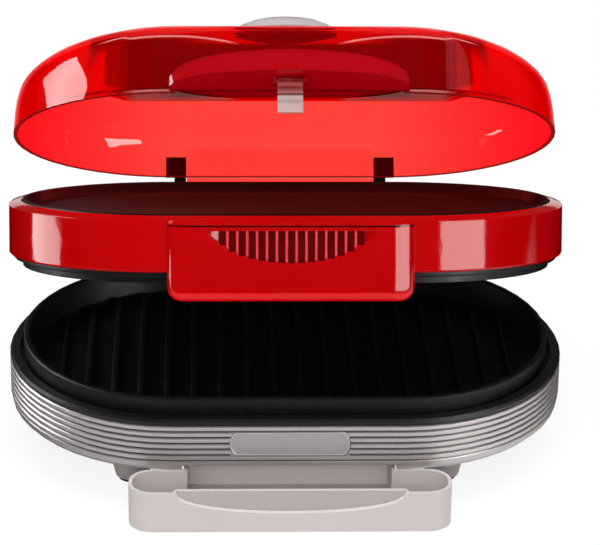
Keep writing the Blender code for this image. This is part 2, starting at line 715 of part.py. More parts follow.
def base_electrics():
    """Heating tube, reflector, thermostat, fuse, terminals and the cord inlet."""
    heating_tube("base_heating_tube", TUBE_Z, BASE)
    reflector = oval_body("base_reflector", [
        (REFLECTOR_INSET, REFLECTOR_BOTTOM), (REFLECTOR_INSET, REFLECTOR_TOP),
    ])
    finish(reflector, STEEL, BASE)
    under = REFLECTOR_BOTTOM - GAP
    thermostat = rod(
        "thermostat", "Z", (THERMOSTAT_X, 0, under - THERMOSTAT_HEIGHT / 2),
        THERMOSTAT_RADIUS, THERMOSTAT_HEIGHT,
    )
    finish(thermostat, CERAMIC, BASE)
    fuse = rod("thermal_fuse", "X", (FUSE_X, 0, under - FUSE_RADIUS), FUSE_RADIUS, FUSE_LENGTH, sides=SMALL_SIDES)
    finish(fuse, CERAMIC, BASE)
    block_low = COVER_TOP + GAP
    block = box(
        "terminal_block", (-TERMINAL_WIDTH / 2, TERMINAL_WIDTH / 2),
        (TERMINAL_Y - TERMINAL_DEPTH / 2, TERMINAL_Y + TERMINAL_DEPTH / 2),
        (block_low, block_low + TERMINAL_HEIGHT),
    )
    finish(block, CERAMIC, BASE)
    inside = HALF_DEPTH - BASE_WALL - INLET_INSIDE
    outside = HALF_DEPTH + INLET_OUTSIDE
    inlet = rod("cord_inlet", "Y", (0, (inside + outside) / 2, INLET_Z), INLET_RADIUS, outside - inside)
    join(inlet, rod(
        "inlet_flange", "Y", (0, HALF_DEPTH + GAP + INLET_FLANGE / 2, INLET_Z),
        INLET_FLANGE_RADIUS, INLET_FLANGE,
    ), BASE)
    cut(inlet, rod(
        "inlet_bore", "Y", (0, HALF_DEPTH, INLET_Z), INLET_BORE, 2 * OVERRUN + outside - inside,
    ), BASE)
    finish(inlet, BLACK_PLASTIC, BASE)


# Hinge: brackets on the base, arms on the middle unit and the lid, one pin a side

MIDDLE_ARM_X = BRACKET_X + KNUCKLE_WIDTH + GAP
LID_ARM_X = MIDDLE_ARM_X + KNUCKLE_WIDTH + GAP
PIN_END = LID_ARM_X + KNUCKLE_WIDTH + PIN_OVERHANG


def drill(target, side, frame):
    """The pin's bore through a knuckle."""
    cut(target, rod(
        target.name + "_bore", "X", (side * LID_ARM_X, HINGE_Y, HINGE_Z),
        PIN_RADIUS + PIN_CLEARANCE, 2 * (PIN_END - BRACKET_X) + OVERRUN,
    ), frame)


def between(side, near, far):
    """Two places along X, in rising order, on the given side."""
    return sorted((side * near, side * far))


def hinge_bracket(side, hand):
    """The base's knuckle with its plate, and the pin through it."""
    x = between(side, BRACKET_X, BRACKET_X + KNUCKLE_WIDTH)
    face = HALF_DEPTH + GAP
    outline = arc((HINGE_Y, HINGE_Z), KNUCKLE_RADIUS, -90, 90, 2 * ARC_STEPS)
    outline += [(face, HINGE_Z + KNUCKLE_RADIUS), (face, HINGE_Z - KNUCKLE_RADIUS)]
    bracket = slab(f"hinge_bracket_{hand}", outline, "YZ", *x)
    join(bracket, box(
        f"bracket_plate_{hand}", between(side, BRACKET_X - FLANGE_WIDTH, BRACKET_X + KNUCKLE_WIDTH),
        (face, face + BRACKET_PLATE),
        (HINGE_Z - BRACKET_PLATE_HALF_HEIGHT, HINGE_Z + BRACKET_PLATE_HALF_HEIGHT),
    ), BASE)
    drill(bracket, side, BASE)
    finish(bracket, BLACK_PLASTIC, BASE)
    pin_low = BRACKET_X - PIN_OVERHANG
    pin = rod(
        f"hinge_pin_{hand}", "X", (side * (pin_low + PIN_END) / 2, HINGE_Y, HINGE_Z),
        PIN_RADIUS, PIN_END - pin_low,
    )
    finish(pin, STEEL, BASE)


def hinge_arm(name, side, near, flange_x, wall_y, low, high, frame):
    """An arm from the pin up to a wall, with a screw flange along that wall."""
    x = between(side, near, near + KNUCKLE_WIDTH)
    front = HINGE_Y - KNUCKLE_RADIUS
    outline = arc((HINGE_Y, HINGE_Z), KNUCKLE_RADIUS, 180, 360, 2 * ARC_STEPS)
    outline += [
        (wall_y + ARM_TOP_DEPTH + ARM_PLATE, low),
        (wall_y + ARM_TOP_DEPTH, high),
        (wall_y, high),
        (wall_y, low),
        (front, low - ARM_DEPTH / 2),
    ]
    arm = slab(name, outline, "YZ", *x)
    join(arm, box(
        name + "_flange", between(side, *flange_x), (wall_y, wall_y + ARM_PLATE), (low, high),
    ), frame)
    drill(arm, side, frame)
    return finish(arm, BLACK_PLASTIC, frame)


def hinges():
    """A bracket, a pin and two arms at each side."""
    for side, hand in ((-1, "left"), (1, "right")):
        hinge_bracket(side, hand)
        hinge_arm(
            f"middle_hinge_arm_{hand}", side, MIDDLE_ARM_X, (BRACKET_X, MIDDLE_ARM_X + KNUCKLE_WIDTH),
            HALF_DEPTH + GAP, MIDDLE_ARM_LOW, MIDDLE_ARM_HIGH, MIDDLE,
        )
        foot = LID_RIM + LID_ARM_FOOT
        hinge_arm(
            f"lid_hinge_arm_{hand}", side, LID_ARM_X, (LID_ARM_X, LID_ARM_X + FLANGE_WIDTH),
            HALF_DEPTH - LID_INSET + GAP, foot, foot + LID_ARM_HEIGHT, LID,
        )


def lid_hinge_leaf():
    """The red leaf at the lid's back, between its two arms, that covers the hinge gap."""
    low_y = HALF_DEPTH + GAP
    wall_y = HALF_DEPTH - LID_INSET + GAP
    top = LID_RIM + LEAF_RISE
    outline = [
        (low_y, LEAF_LOW),
        (low_y + LID_WALL, LEAF_LOW),
        (low_y + LID_WALL, LID_RIM),
        (wall_y + LID_WALL, top),
        (wall_y, top),
        (wall_y, LID_RIM + LID_ARM_FOOT),
        (low_y, LID_RIM - LID_ARM_FOOT),
    ]
    half = LID_ARM_X - GAP
    leaf = slab("lid_hinge_leaf", outline, "YZ", -half, half)
    finish(leaf, RED_CLEAR, LID)


# Middle unit

SEAT_TOP = MIDDLE_TOP - SEAT_DROP
SHOULDER_INSET = SHOULDER_WIDTH + SHOULDER_EDGE
SEAT_INSET = SHOULDER_INSET + SEAT_WIDTH
PRESS_TOP = PRESS_BOTTOM + PRESS_RECESS + PRESS_THICKNESS
MIDDLE_TUBE_Z = PRESS_TOP + GAP + TUBE_RADIUS


def middle_shell():
    """The glossy red wall, with a seat inside for the warming plate."""
    shell = oval_body("middle_shell", [
        (MIDDLE_EDGE, MIDDLE_BOTTOM),
        (0, MIDDLE_BOTTOM + MIDDLE_EDGE),
        (0, MIDDLE_SHOULDER - MIDDLE_EDGE),
        (MIDDLE_EDGE, MIDDLE_SHOULDER),
        (SHOULDER_WIDTH, MIDDLE_TOP),
        (SHOULDER_INSET, MIDDLE_TOP - SHOULDER_EDGE),
        (SHOULDER_INSET, SEAT_TOP),
        (SEAT_INSET, SEAT_TOP),
        (SEAT_INSET, SEAT_TOP - SEAT_THICKNESS),
        (MIDDLE_WALL, SEAT_TOP - SEAT_THICKNESS),
        (MIDDLE_WALL, MIDDLE_BOTTOM),
    ], ring=True)
    return finish(shell, RED_GLOSS, MIDDLE)


def warming_plate():
    """The flat-floored plate on top of the middle unit."""
    wall = SHOULDER_INSET + GAP
    belly = SEAT_INSET + SLIP
    inner = wall + WARMER_RIM_WIDTH
    plate = oval_body("warming_plate", [
        (belly + WARMER_EDGE, WARMER_FLOOR - WARMER_BELLY),
        (belly, WARMER_FLOOR - WARMER_BELLY + WARMER_EDGE),
        (belly, SEAT_TOP + GAP),
        (wall, SEAT_TOP + GAP),
        (wall, WARMER_RIM - WARMER_EDGE),
        (wall + WARMER_EDGE, WARMER_RIM),
        (inner - WARMER_EDGE, WARMER_RIM),
        (inner, WARMER_RIM - WARMER_EDGE),
        (inner + WARMER_DRAFT, WARMER_FLOOR + WARMER_FILLET / 2),
        (inner + WARMER_DRAFT + WARMER_FILLET, WARMER_FLOOR),
    ])
    return finish(plate, NONSTICK, MIDDLE)


def press_plate():
    """The ribbed plate under the middle unit, dished on its upper side."""
    flange = MIDDLE_WALL + SLIP
    flange_top = MIDDLE_BOTTOM + PRESS_FLANGE_RISE
    rim_inner = PRESS_RIM_INSET + PRESS_RIM_WIDTH
    recess_inset = rim_inner + PRESS_RECESS
    plate = oval_body("press_plate", [
        (recess_inset, PRESS_TOP),
        (PRESS_RIM_INSET + PRESS_RECESS, PRESS_TOP + MIDDLE_EDGE),
        (PRESS_RIM_INSET, flange_top),
        (flange, flange_top),
        (flange, MIDDLE_BOTTOM - PRESS_STEP),
        (PRESS_RIM_INSET - MIDDLE_EDGE, MIDDLE_BOTTOM - PRESS_STEP - GAP),
        (PRESS_RIM_INSET, MIDDLE_BOTTOM - PRESS_STEP - MIDDLE_EDGE),
        (PRESS_RIM_INSET, PRESS_BOTTOM),
        (rim_inner, PRESS_BOTTOM),
        (recess_inset, PRESS_BOTTOM + PRESS_RECESS),
    ])
    underside = PRESS_BOTTOM + PRESS_RECESS
    join(plate, ribs("press_ribs", underside + OVERLAP, underside - PRESS_RIB_HEIGHT, recess_inset), MIDDLE)
    return finish(plate, NONSTICK, MIDDLE)


def middle_electrics():
    """Heating tube, reflector and fuse between the two plates."""
    heating_tube("middle_heating_tube", MIDDLE_TUBE_Z, MIDDLE)
    low = MIDDLE_TUBE_Z + TUBE_RADIUS + GAP
    reflector = oval_body("middle_reflector", [
        (REFLECTOR_INSET, low), (REFLECTOR_INSET, low + REFLECTOR_THICKNESS),
    ])
    finish(reflector, STEEL, MIDDLE)
    on_top = low + REFLECTOR_THICKNESS + GAP
    fuse = rod(
        "middle_thermal_fuse", "X", (FUSE_X, 0, on_top + FUSE_RADIUS), FUSE_RADIUS, FUSE_LENGTH, sides=SMALL_SIDES,
    )
    finish(fuse, CERAMIC, MIDDLE)


def handle_section(y, side_share=0.0, end_share=0.0):
    """The grip's outline at a depth, drawn in by shares of its sweeps."""
    low = HANDLE_CORNER - HANDLE_LOW_SWEEP * end_share
    top = HANDLE_TOP_CORNER - HANDLE_TOP_SWEEP * end_share
    half_width = HANDLE_HALF_WIDTH - HANDLE_SIDE_SWEEP * side_share
    x_low = half_width - low
    x_top = half_width - top
    z_low = HANDLE_BOTTOM + HANDLE_CORNER
    z_top = HANDLE_TOP - HANDLE_TOP_CORNER
    outline = arc((x_low, z_low), low, -90, 0)
    outline += arc((x_top, z_top), top, 0, 90, 2)
    outline += arc((-x_top, z_top), top, 90, 180, 2)
    outline += arc((-x_low, z_low), low, 180, 270)
    return [(x, y, z) for x, z in outline]


def scoop_end(side, front):
    """The sloping end of the finger scoop, from its last slot out to the face."""
    wall = SLOT_PITCH * (SLOT_COUNT - 1) / 2
    reach = wall + SLOT_WIDTH / 2 + SCOOP_RUN_OUT
    drop = SCOOP_DROP * math.sqrt(1 - (wall / SCOOP_HALF_WIDTH) ** 2)
    rise = (drop - SCOOP_TIP) / (reach - wall)
    sections = []
    for x, depth in ((wall, SLOT_DEPTH), (wall + SLOT_WIDTH / 2, SLOT_DEPTH), (reach, GAP)):
        low = SCOOP_TOP - drop + rise * (x - wall)
        sections.append([
            (side * x, front - GAP, low), (side * x, front - GAP, SCOOP_TOP),
            (side * x, front + depth - GAP, SCOOP_TOP), (side * x, front + depth - GAP, low),
        ])
    return loft("scoop_end", sections)


def middle_handle():
    """The front grip, with a seam under its lip and a row of finger slots."""
    back = -(HALF_DEPTH + GAP)
    front = back - HANDLE_THICKNESS
    x = HANDLE_HALF_WIDTH
    sections = [handle_section(back)]
    for depth_share, side_share, end_share in HANDLE_EDGE_SHARES:
        sections.append(handle_section(front + HANDLE_THICKNESS * depth_share, side_share, end_share))
    grip = loft("middle_handle", sections)
    seam_top = HANDLE_TOP - SEAM_DROP + SEAM_WIDTH
    cut(grip, box(
        "handle_seam", (-x - OVERRUN, x + OVERRUN), (front - OVERRUN, front + SEAM_DEPTH),
        (seam_top - SEAM_WIDTH, seam_top),
    ), MIDDLE)
    slots = bmesh.new()
    for i in range(SLOT_COUNT):
        centre = SLOT_PITCH * (i - (SLOT_COUNT - 1) / 2)
        drop = SCOOP_DROP * math.sqrt(max(1 - (centre / SCOOP_HALF_WIDTH) ** 2, 0))
        for corner in bmesh.ops.create_cube(slots, size=1)["verts"]:
            corner.co = (
                centre + corner.co.x * SLOT_WIDTH,
                front + SLOT_DEPTH if corner.co.y > 0 else front - OVERRUN,
                SCOOP_TOP if corner.co.z > 0 else SCOOP_TOP - drop,
            )
    cut(grip, to_object("finger_slots", slots), MIDDLE)
    for side in (-1, 1):
        cut(grip, scoop_end(side, front), MIDDLE)
    return finish(grip, RED_GLOSS, MIDDLE)


# Lid

LEDGE_LOW = WARMER_RIM + GAP
LEDGE_Z = LEDGE_LOW + LEDGE_THICKNESS
BITE_BACK = -(HALF_DEPTH - BITE_DEPTH)
GRIP_FLOOR = LEDGE_Z + GAP


def dome(name, wall):
    """The lid's outer form, or the hollow that leaves the given wall."""
    height = LID_HEIGHT - wall
    profile = [
        (LID_INSET + wall + inset_share * HALF_DEPTH, LID_RIM + height * height_share)
        for inset_share, height_share in LID_RISE_SHARES
    ]
    if wall:
        profile.insert(0, (LID_INSET + wall, LID_RIM - OVERRUN))
    return oval_body(name, profile)


def bite(name, wall, low):
    """The recess in the lid's front round the grip, grown by a wall's thickness."""
    front = -(HALF_DEPTH + OVERRUN + OVERRUN)
    back = BITE_BACK + wall
    outline = [
        (-BITE_HALF_BACK - wall, back),
        (-BITE_HALF_FRONT - wall, -HALF_DEPTH),
        (-BITE_HALF_FRONT - wall, front),
        (BITE_HALF_FRONT + wall, front),
        (BITE_HALF_FRONT + wall, -HALF_DEPTH),
        (BITE_HALF_BACK + wall, back),
    ]
    return slab(name, outline, "XY", low, LID_RIM + LID_HEIGHT + OVERRUN)


def crown_height(y):
    """The dome's height above its rim on the middle line, at a place in front."""
    share = (HALF_DEPTH - LID_INSET + y) / HALF_DEPTH
    for (near, low), (far, high) in zip(LID_RISE_SHARES, LID_RISE_SHARES[1:]):
        if share <= far:
            return LID_HEIGHT * (low + (high - low) * (share - near) / (far - near))
    return LID_HEIGHT


def saddle(name, wall):
    """The trough in the crown's front edge, deepest where it meets the recess."""
    start = BITE_BACK - SADDLE_DEPTH
    end = -SADDLE_END
    top = LID_RIM + LID_HEIGHT + OVERRUN
    sections = []
    for row in range(SADDLE_ROWS + 1):
        share = row / SADDLE_ROWS
        y = start + (end - start) * share
        depth = (SADDLE_LIFT + SADDLE_DEPTH) * (1 - share) ** SADDLE_FALL_SHARE
        crest = LID_RIM + crown_height(y) + SADDLE_LIFT - wall
        section = []
        for i in range(SADDLE_STEPS + 1):
            across = 2 * i / SADDLE_STEPS - 1
            dip = depth * math.cos(across * math.pi / 2) ** 2
            section.append((across * SADDLE_HALF_WIDTH, y, crest - dip))
        section += [(SADDLE_HALF_WIDTH, y, top), (-SADDLE_HALF_WIDTH, y, top)]
        sections.append(section)
    return loft(name, sections)


def lid_shell():
    """The translucent dome, with a recess and ledge in front for the grip."""
    shell = dome("lid_shell", 0)
    cut(shell, bite("lid_bite", 0, LEDGE_Z), LID)
    cut(shell, saddle("lid_saddle", 0), LID)
    hollow = dome("lid_hollow", LID_WALL)
    cut(hollow, bite("lid_bite_wall", LID_WALL, LEDGE_LOW), LID)
    cut(hollow, saddle("lid_saddle_wall", LID_WALL), LID)
    cut(shell, hollow, LID)
    notch = rod("lid_ledge_notch", "Z", (0, 0, LID_RIM), HALF_DEPTH, 2 * OVERRUN, sides=2 * ROUND_SIDES)
    for corner in notch.data.vertices:
        corner.co.x *= NOTCH_HALF_WIDTH / HALF_DEPTH
        corner.co.y = corner.co.y * NOTCH_DEPTH / HALF_DEPTH - HALF_DEPTH
        corner.co.y = min(corner.co.y, BITE_BACK - NOTCH_STOP)
    cut(shell, notch, LID)
    return finish(shell, RED_CLEAR, LID)


def grip_form(name, wall):
    """The arched grip, or the hollow that leaves the given wall."""
    back = BITE_BACK - GAP - wall
    front_face = -(HALF_DEPTH - LID_INSET + GAP)
    foot = LID_RIM + GAP
    sections = []
    for i in range(GRIP_ARCH_STEPS + 1):
        angle = GRIP_ARCH_TURN * (2 * i / GRIP_ARCH_STEPS - 1)
        fullness = math.cos(angle) ** GRIP_FULLNESS
        x = (GRIP_ARCH_HALF - wall) * math.sin(angle) / math.sin(GRIP_ARCH_TURN)
        top = GRIP_FLOOR + (GRIP_ARCH_TOP - GRIP_FLOOR - wall) * fullness
        crease = foot + (GRIP_CREASE - foot) * fullness + wall / 2
        reach = front_face - GRIP_REACH * fullness + wall
        section = [
            (x, back, GRIP_FLOOR + (top - GRIP_FLOOR) * GRIP_BACK_SHARE),
            (x, reach + GRIP_TOP_SETBACK * fullness, top),
            (x, reach, crease),
        ]
        if wall:
            section += [
                (x, front_face + wall, GRIP_FLOOR),
                (x, front_face + wall, GRIP_FLOOR - OVERRUN),
                (x, back, GRIP_FLOOR - OVERRUN),
            ]
        else:
            section += [
                (x, front_face, foot),
                (x, front_face, GRIP_FLOOR),
                (x, back, GRIP_FLOOR),
            ]
        sections.append(section)
    return loft(name, sections)


def lid_handle():
    """The arched grip in the lid's recess, with lugs for the latch's pin."""
    grip = grip_form("lid_handle", 0)
    cut(grip, grip_form("grip_hollow", GRIP_WALL), LID)
    x = LATCH_HALF_WIDTH + SLIP
    y_front = LATCH_Y - LATCH_KNUCKLE - SLIP
    y_back = LATCH_Y + LATCH_KNUCKLE + SLIP
    for side in (-1, 1):
        lug = box(
            f"latch_lug_{side}", between(side, x, x + LATCH_LUG), (y_front, y_back),
            (LATCH_PIN_Z - LATCH_KNUCKLE, LATCH_PIN_Z + LATCH_KNUCKLE),
        )
        join(grip, lug, LID)
    cut(grip, box(
        "latch_slot", (-x, x), (y_front - LATCH_KNUCKLE, y_back),
        (LID_RIM - OVERRUN, LATCH_TOP + SLIP),
    ), LID)
    cut(grip, rod(
        "latch_pin_bore", "X", (0, LATCH_Y, LATCH_PIN_Z),
        LATCH_PIN_RADIUS + LATCH_PIN_CLEARANCE, 2 * (x + LATCH_LUG) + OVERLAP, sides=SMALL_SIDES,
    ), LID)
    return finish(grip, RED_CLEAR, LID)


def lid_latch():
    """The clear tab that hangs from a pin inside the lid's grip."""
    tab = box(
        "lid_latch", (-LATCH_HALF_WIDTH, LATCH_HALF_WIDTH),
        (LATCH_Y - LATCH_THICKNESS / 2, LATCH_Y + LATCH_THICKNESS / 2), (LATCH_BOTTOM, LATCH_PIN_Z),
    )
    join(tab, rod(
        "latch_knuckle", "X", (0, LATCH_Y, LATCH_PIN_Z), LATCH_KNUCKLE, 2 * LATCH_HALF_WIDTH,
        sides=KNUCKLE_SIDES,
    ), LATCH)
    cut(tab, rod(
        "latch_bore", "X", (0, LATCH_Y, LATCH_PIN_Z),
        LATCH_PIN_RADIUS + LATCH_PIN_CLEARANCE, 2 * LATCH_HALF_WIDTH + OVERRUN, sides=SMALL_SIDES,
    ), LATCH)
    finish(tab, CLEAR_PLASTIC, LATCH)
    pin = rod(
        "latch_pin", "X", (0, LATCH_Y, LATCH_PIN_Z), LATCH_PIN_RADIUS,
        2 * (LATCH_HALF_WIDTH + SLIP + LATCH_LUG), sides=SMALL_SIDES,
    )
    finish(pin, STEEL, LID)


def lid_badge():
    """The bare oval badge on the crown, its underside shaped by the lid."""
    lens = bmesh.new()
    bmesh.ops.create_uvsphere(lens, u_segments=ROUND_SIDES, v_segments=ROUND_SIDES // 2, radius=1)
    bmesh.ops.scale(lens, vec=(BADGE_HALF_WIDTH, BADGE_HALF_DEPTH, BADGE_RISE), verts=lens.verts)
    crown = LID_RIM + LID_HEIGHT
    bmesh.ops.translate(lens, vec=(0, BADGE_Y, crown - BADGE_SINK), verts=lens.verts)
    badge = to_object("lid_badge", lens)
    bed = dome("badge_bed", 0)
    for corner in bed.data.vertices:
        corner.co.z += GAP
    cut(badge, bed, LID)
    return finish(badge, WARM_GREY, LID)


# Drip tray

def tray_outline(inset, front_inset):
    """The tray's plan: a wide front with a tongue that goes under the base."""
    wide = TRAY_HALF_WIDTH - inset
    tongue = TRAY_HALF_TONGUE - inset
    front = -TRAY_FRONT + inset
    middle_front = -TRAY_FRONT + front_inset
    shoulder = -TRAY_LOBE_BACK - inset
    back = -TRAY_BACK - inset
    corner = TRAY_CORNER - inset
    back_corner = TRAY_BACK_CORNER - inset
    grip = GRIP_HALF_WIDTH + inset
    right = []
    if front_inset > inset:
        right = [(grip - TRAY_WALL, middle_front), (grip, front)]
    right += arc((wide - corner, front + corner), corner, -90, 0)
    right += arc((wide - corner, shoulder - corner), corner, 0, 90)
    right += [(tongue, shoulder)]
    right += arc((tongue - back_corner, back - back_corner), back_corner, 0, 90, 2)
    left = [(-x, y) for x, y in reversed(right)]
    return right + left


def drip_tray():
    """The hollow tray, with a dip in its front wall for the fingers."""
    tray = slab("drip_tray", tray_outline(0, 0), "XY", TRAY_RAISE, TRAY_RIM)
    inner_front = GRIP_DEPTH + TRAY_WALL
    cut(tray, slab(
        "tray_inside", tray_outline(TRAY_WALL, inner_front), "XY",
        TRAY_RAISE + TRAY_FLOOR, TRAY_RIM + OVERRUN,
    ), TRAY)
    scoop = []
    for i in range(GRIP_DIP_STEPS + 1):
        turn = math.pi * i / GRIP_DIP_STEPS
        dip = GRIP_DROP * math.sin(turn) ** GRIP_DIP_SHARE
        scoop.append((GRIP_HALF_WIDTH * math.cos(turn), TRAY_RIM - dip))
    above = TRAY_RIM + OVERRUN
    outline = [(GRIP_HALF_WIDTH, above)] + scoop + [(-GRIP_HALF_WIDTH, above)]
    cut(tray, slab(
        "tray_grip", outline, "XZ", -TRAY_FRONT - OVERRUN, -TRAY_FRONT + GRIP_DEPTH,
    ), TRAY)
    return finish(tray, WARM_GREY, TRAY)


base_shell()
seat_ring()
grill_pan()
bottom_cover()
feet()
base_electrics()
hinges()
lid_hinge_leaf()
middle_shell()
warming_plate()
press_plate()
middle_electrics()
middle_handle()
lid_shell()
lid_handle()
lid_latch()
lid_badge()
drip_tray()
bpy.context.view_layer.update()
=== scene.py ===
"""Looks for the two-deck electric grill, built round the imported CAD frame."""

import math

import bmesh
import bpy
from mathutils import Matrix, Vector


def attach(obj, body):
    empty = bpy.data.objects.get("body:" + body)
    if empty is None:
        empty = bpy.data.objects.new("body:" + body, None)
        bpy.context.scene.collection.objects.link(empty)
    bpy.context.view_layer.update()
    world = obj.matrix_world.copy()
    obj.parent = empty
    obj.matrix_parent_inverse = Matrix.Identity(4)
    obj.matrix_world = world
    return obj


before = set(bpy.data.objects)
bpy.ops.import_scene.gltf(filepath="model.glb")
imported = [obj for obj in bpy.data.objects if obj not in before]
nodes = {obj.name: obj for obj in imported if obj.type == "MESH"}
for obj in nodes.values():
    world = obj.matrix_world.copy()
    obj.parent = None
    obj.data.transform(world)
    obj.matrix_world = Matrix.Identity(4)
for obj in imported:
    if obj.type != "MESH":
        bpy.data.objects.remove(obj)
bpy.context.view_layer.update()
scene = bpy.context.scene
MM = 0.001
MIDDLE_OPEN = math.radians(15.9)
LID_OPEN = math.radians(34.5)
HINGE = Vector((0, 0.0998, 0.038))


# Camera, fitted to the photograph's frame

CAMERA_TARGET = Vector((0.0077, -0.0122, 0.09659))
CAMERA_DISTANCE = 1.6565
CAMERA_YAW = math.radians(2.07)
CAMERA_PITCH = math.radians(23)
CAMERA_ROLL = math.radians(0.76)
CAMERA_REACH = 20
SENSOR = 36
FOCAL_PIXELS = 2961.6
PICTURE_WIDTH = 600
LENS = FOCAL_PIXELS * SENSOR / PICTURE_WIDTH


def make_camera():
    """Looks down on the grill from the photograph's place."""
    level = math.cos(CAMERA_PITCH)
    ahead = Vector((
        math.sin(CAMERA_YAW) * level, math.cos(CAMERA_YAW) * level, -math.sin(CAMERA_PITCH),
    ))
    right = Vector((math.cos(CAMERA_YAW), -math.sin(CAMERA_YAW), 0))
    up = right.cross(ahead)
    rolled_right = right * math.cos(CAMERA_ROLL) + up * math.sin(CAMERA_ROLL)
    rolled_up = up * math.cos(CAMERA_ROLL) - right * math.sin(CAMERA_ROLL)
    camera = bpy.data.objects.new("camera", bpy.data.cameras.new("camera"))
    scene.collection.objects.link(camera)
    place = CAMERA_TARGET - ahead * CAMERA_DISTANCE
    turn = Matrix((rolled_right, rolled_up, -ahead)).transposed().to_4x4()
    camera.matrix_world = Matrix.Translation(place) @ turn
    camera.data.sensor_width = SENSOR
    camera.data.lens = LENS
    camera.data.clip_end = CAMERA_REACH
    scene.camera = camera


# Node trees

MOST_OF_NOISE = (0.3, 0.7)
GLOSS_NOISE = (0.35, 0.7)
BEVEL_SAMPLES = 4
# The two colour inputs of a Mix node
COLOUR_SOCKETS = (6, 7)


class Tree:
    """A small builder for one node tree."""

    def __init__(self, tree):
        self.tree = tree

    def add(self, kind, **settings):
        node = self.tree.nodes.new(kind)
        for key, value in settings.items():
            setattr(node, key, value)
        return node

    def link(self, source, target):
        self.tree.links.new(source, target)

    def feed(self, socket, value):
        """Gives a socket a number, a colour or the output of another node."""
        if isinstance(value, (int, float)):
            socket.default_value = value
        elif isinstance(value, tuple):
            socket.default_value = (*value, 1)
        else:
            self.link(value, socket)

    def split(self, vector):
        """X, Y and Z of a vector."""
        node = self.add("ShaderNodeSeparateXYZ")
        self.link(vector, node.inputs["Vector"])
        return [node.outputs[axis] for axis in "XYZ"]

    def spread(self, value, low, high, to_low, to_high, **settings):
        """The value mapped from one span to another, held at the ends."""
        node = self.add("ShaderNodeMapRange", **settings)
        for key, number in (
            ("From Min", low), ("From Max", high), ("To Min", to_low), ("To Max", to_high),
        ):
            node.inputs[key].default_value = number
        self.link(value, node.inputs["Value"])
        return node.outputs["Result"]

    def rise(self, value, low, high):
        """A mask that grows from nought to one between low and high."""
        return self.spread(value, low, high, 0, 1)

    def fall(self, value, low, high):
        """A mask that shrinks from one to nought between low and high."""
        return self.spread(value, low, high, 1, 0)

    def span(self, value, low, high, soft):
        """A mask that is one between low and high, with soft ends."""
        return self.all_of(self.rise(value, low - soft, low), self.fall(value, high, high + soft))

    def all_of(self, *masks):
        """The product of several masks."""
        result = masks[0]
        for mask in masks[1:]:
            result = self.times(result, mask)
        return result

    def maths(self, operation, first, second=0):
        node = self.add("ShaderNodeMath", operation=operation)
        for socket, value in zip(node.inputs, (first, second)):
            self.feed(socket, value)
        return node.outputs["Value"]

    def times(self, first, second):
        return self.maths("MULTIPLY", first, second)

    def plus(self, first, second):
        return self.maths("ADD", first, second)

    def minus(self, first, second):
        return self.maths("SUBTRACT", first, second)

    def square(self, value):
        return self.maths("POWER", value, 2)

    def larger(self, first, second):
        return self.maths("MAXIMUM", first, second)

    def size_of(self, value):
        """The value without its sign."""
        return self.maths("ABSOLUTE", value)

    def between(self, factor, low, high):
        """A number between two others."""
        node = self.add("ShaderNodeMix")
        for key, value in (("Factor", factor), ("A", low), ("B", high)):
            self.feed(node.inputs[key], value)
        return node.outputs["Result"]

    def seen_and_mirrored(self):
        """A mask for what is seen straight or through clear parts, and one for reflections."""
        path = self.add("ShaderNodeLightPath").outputs
        seen = self.larger(path["Is Camera Ray"], path["Is Transmission Ray"])
        return seen, path["Is Glossy Ray"]


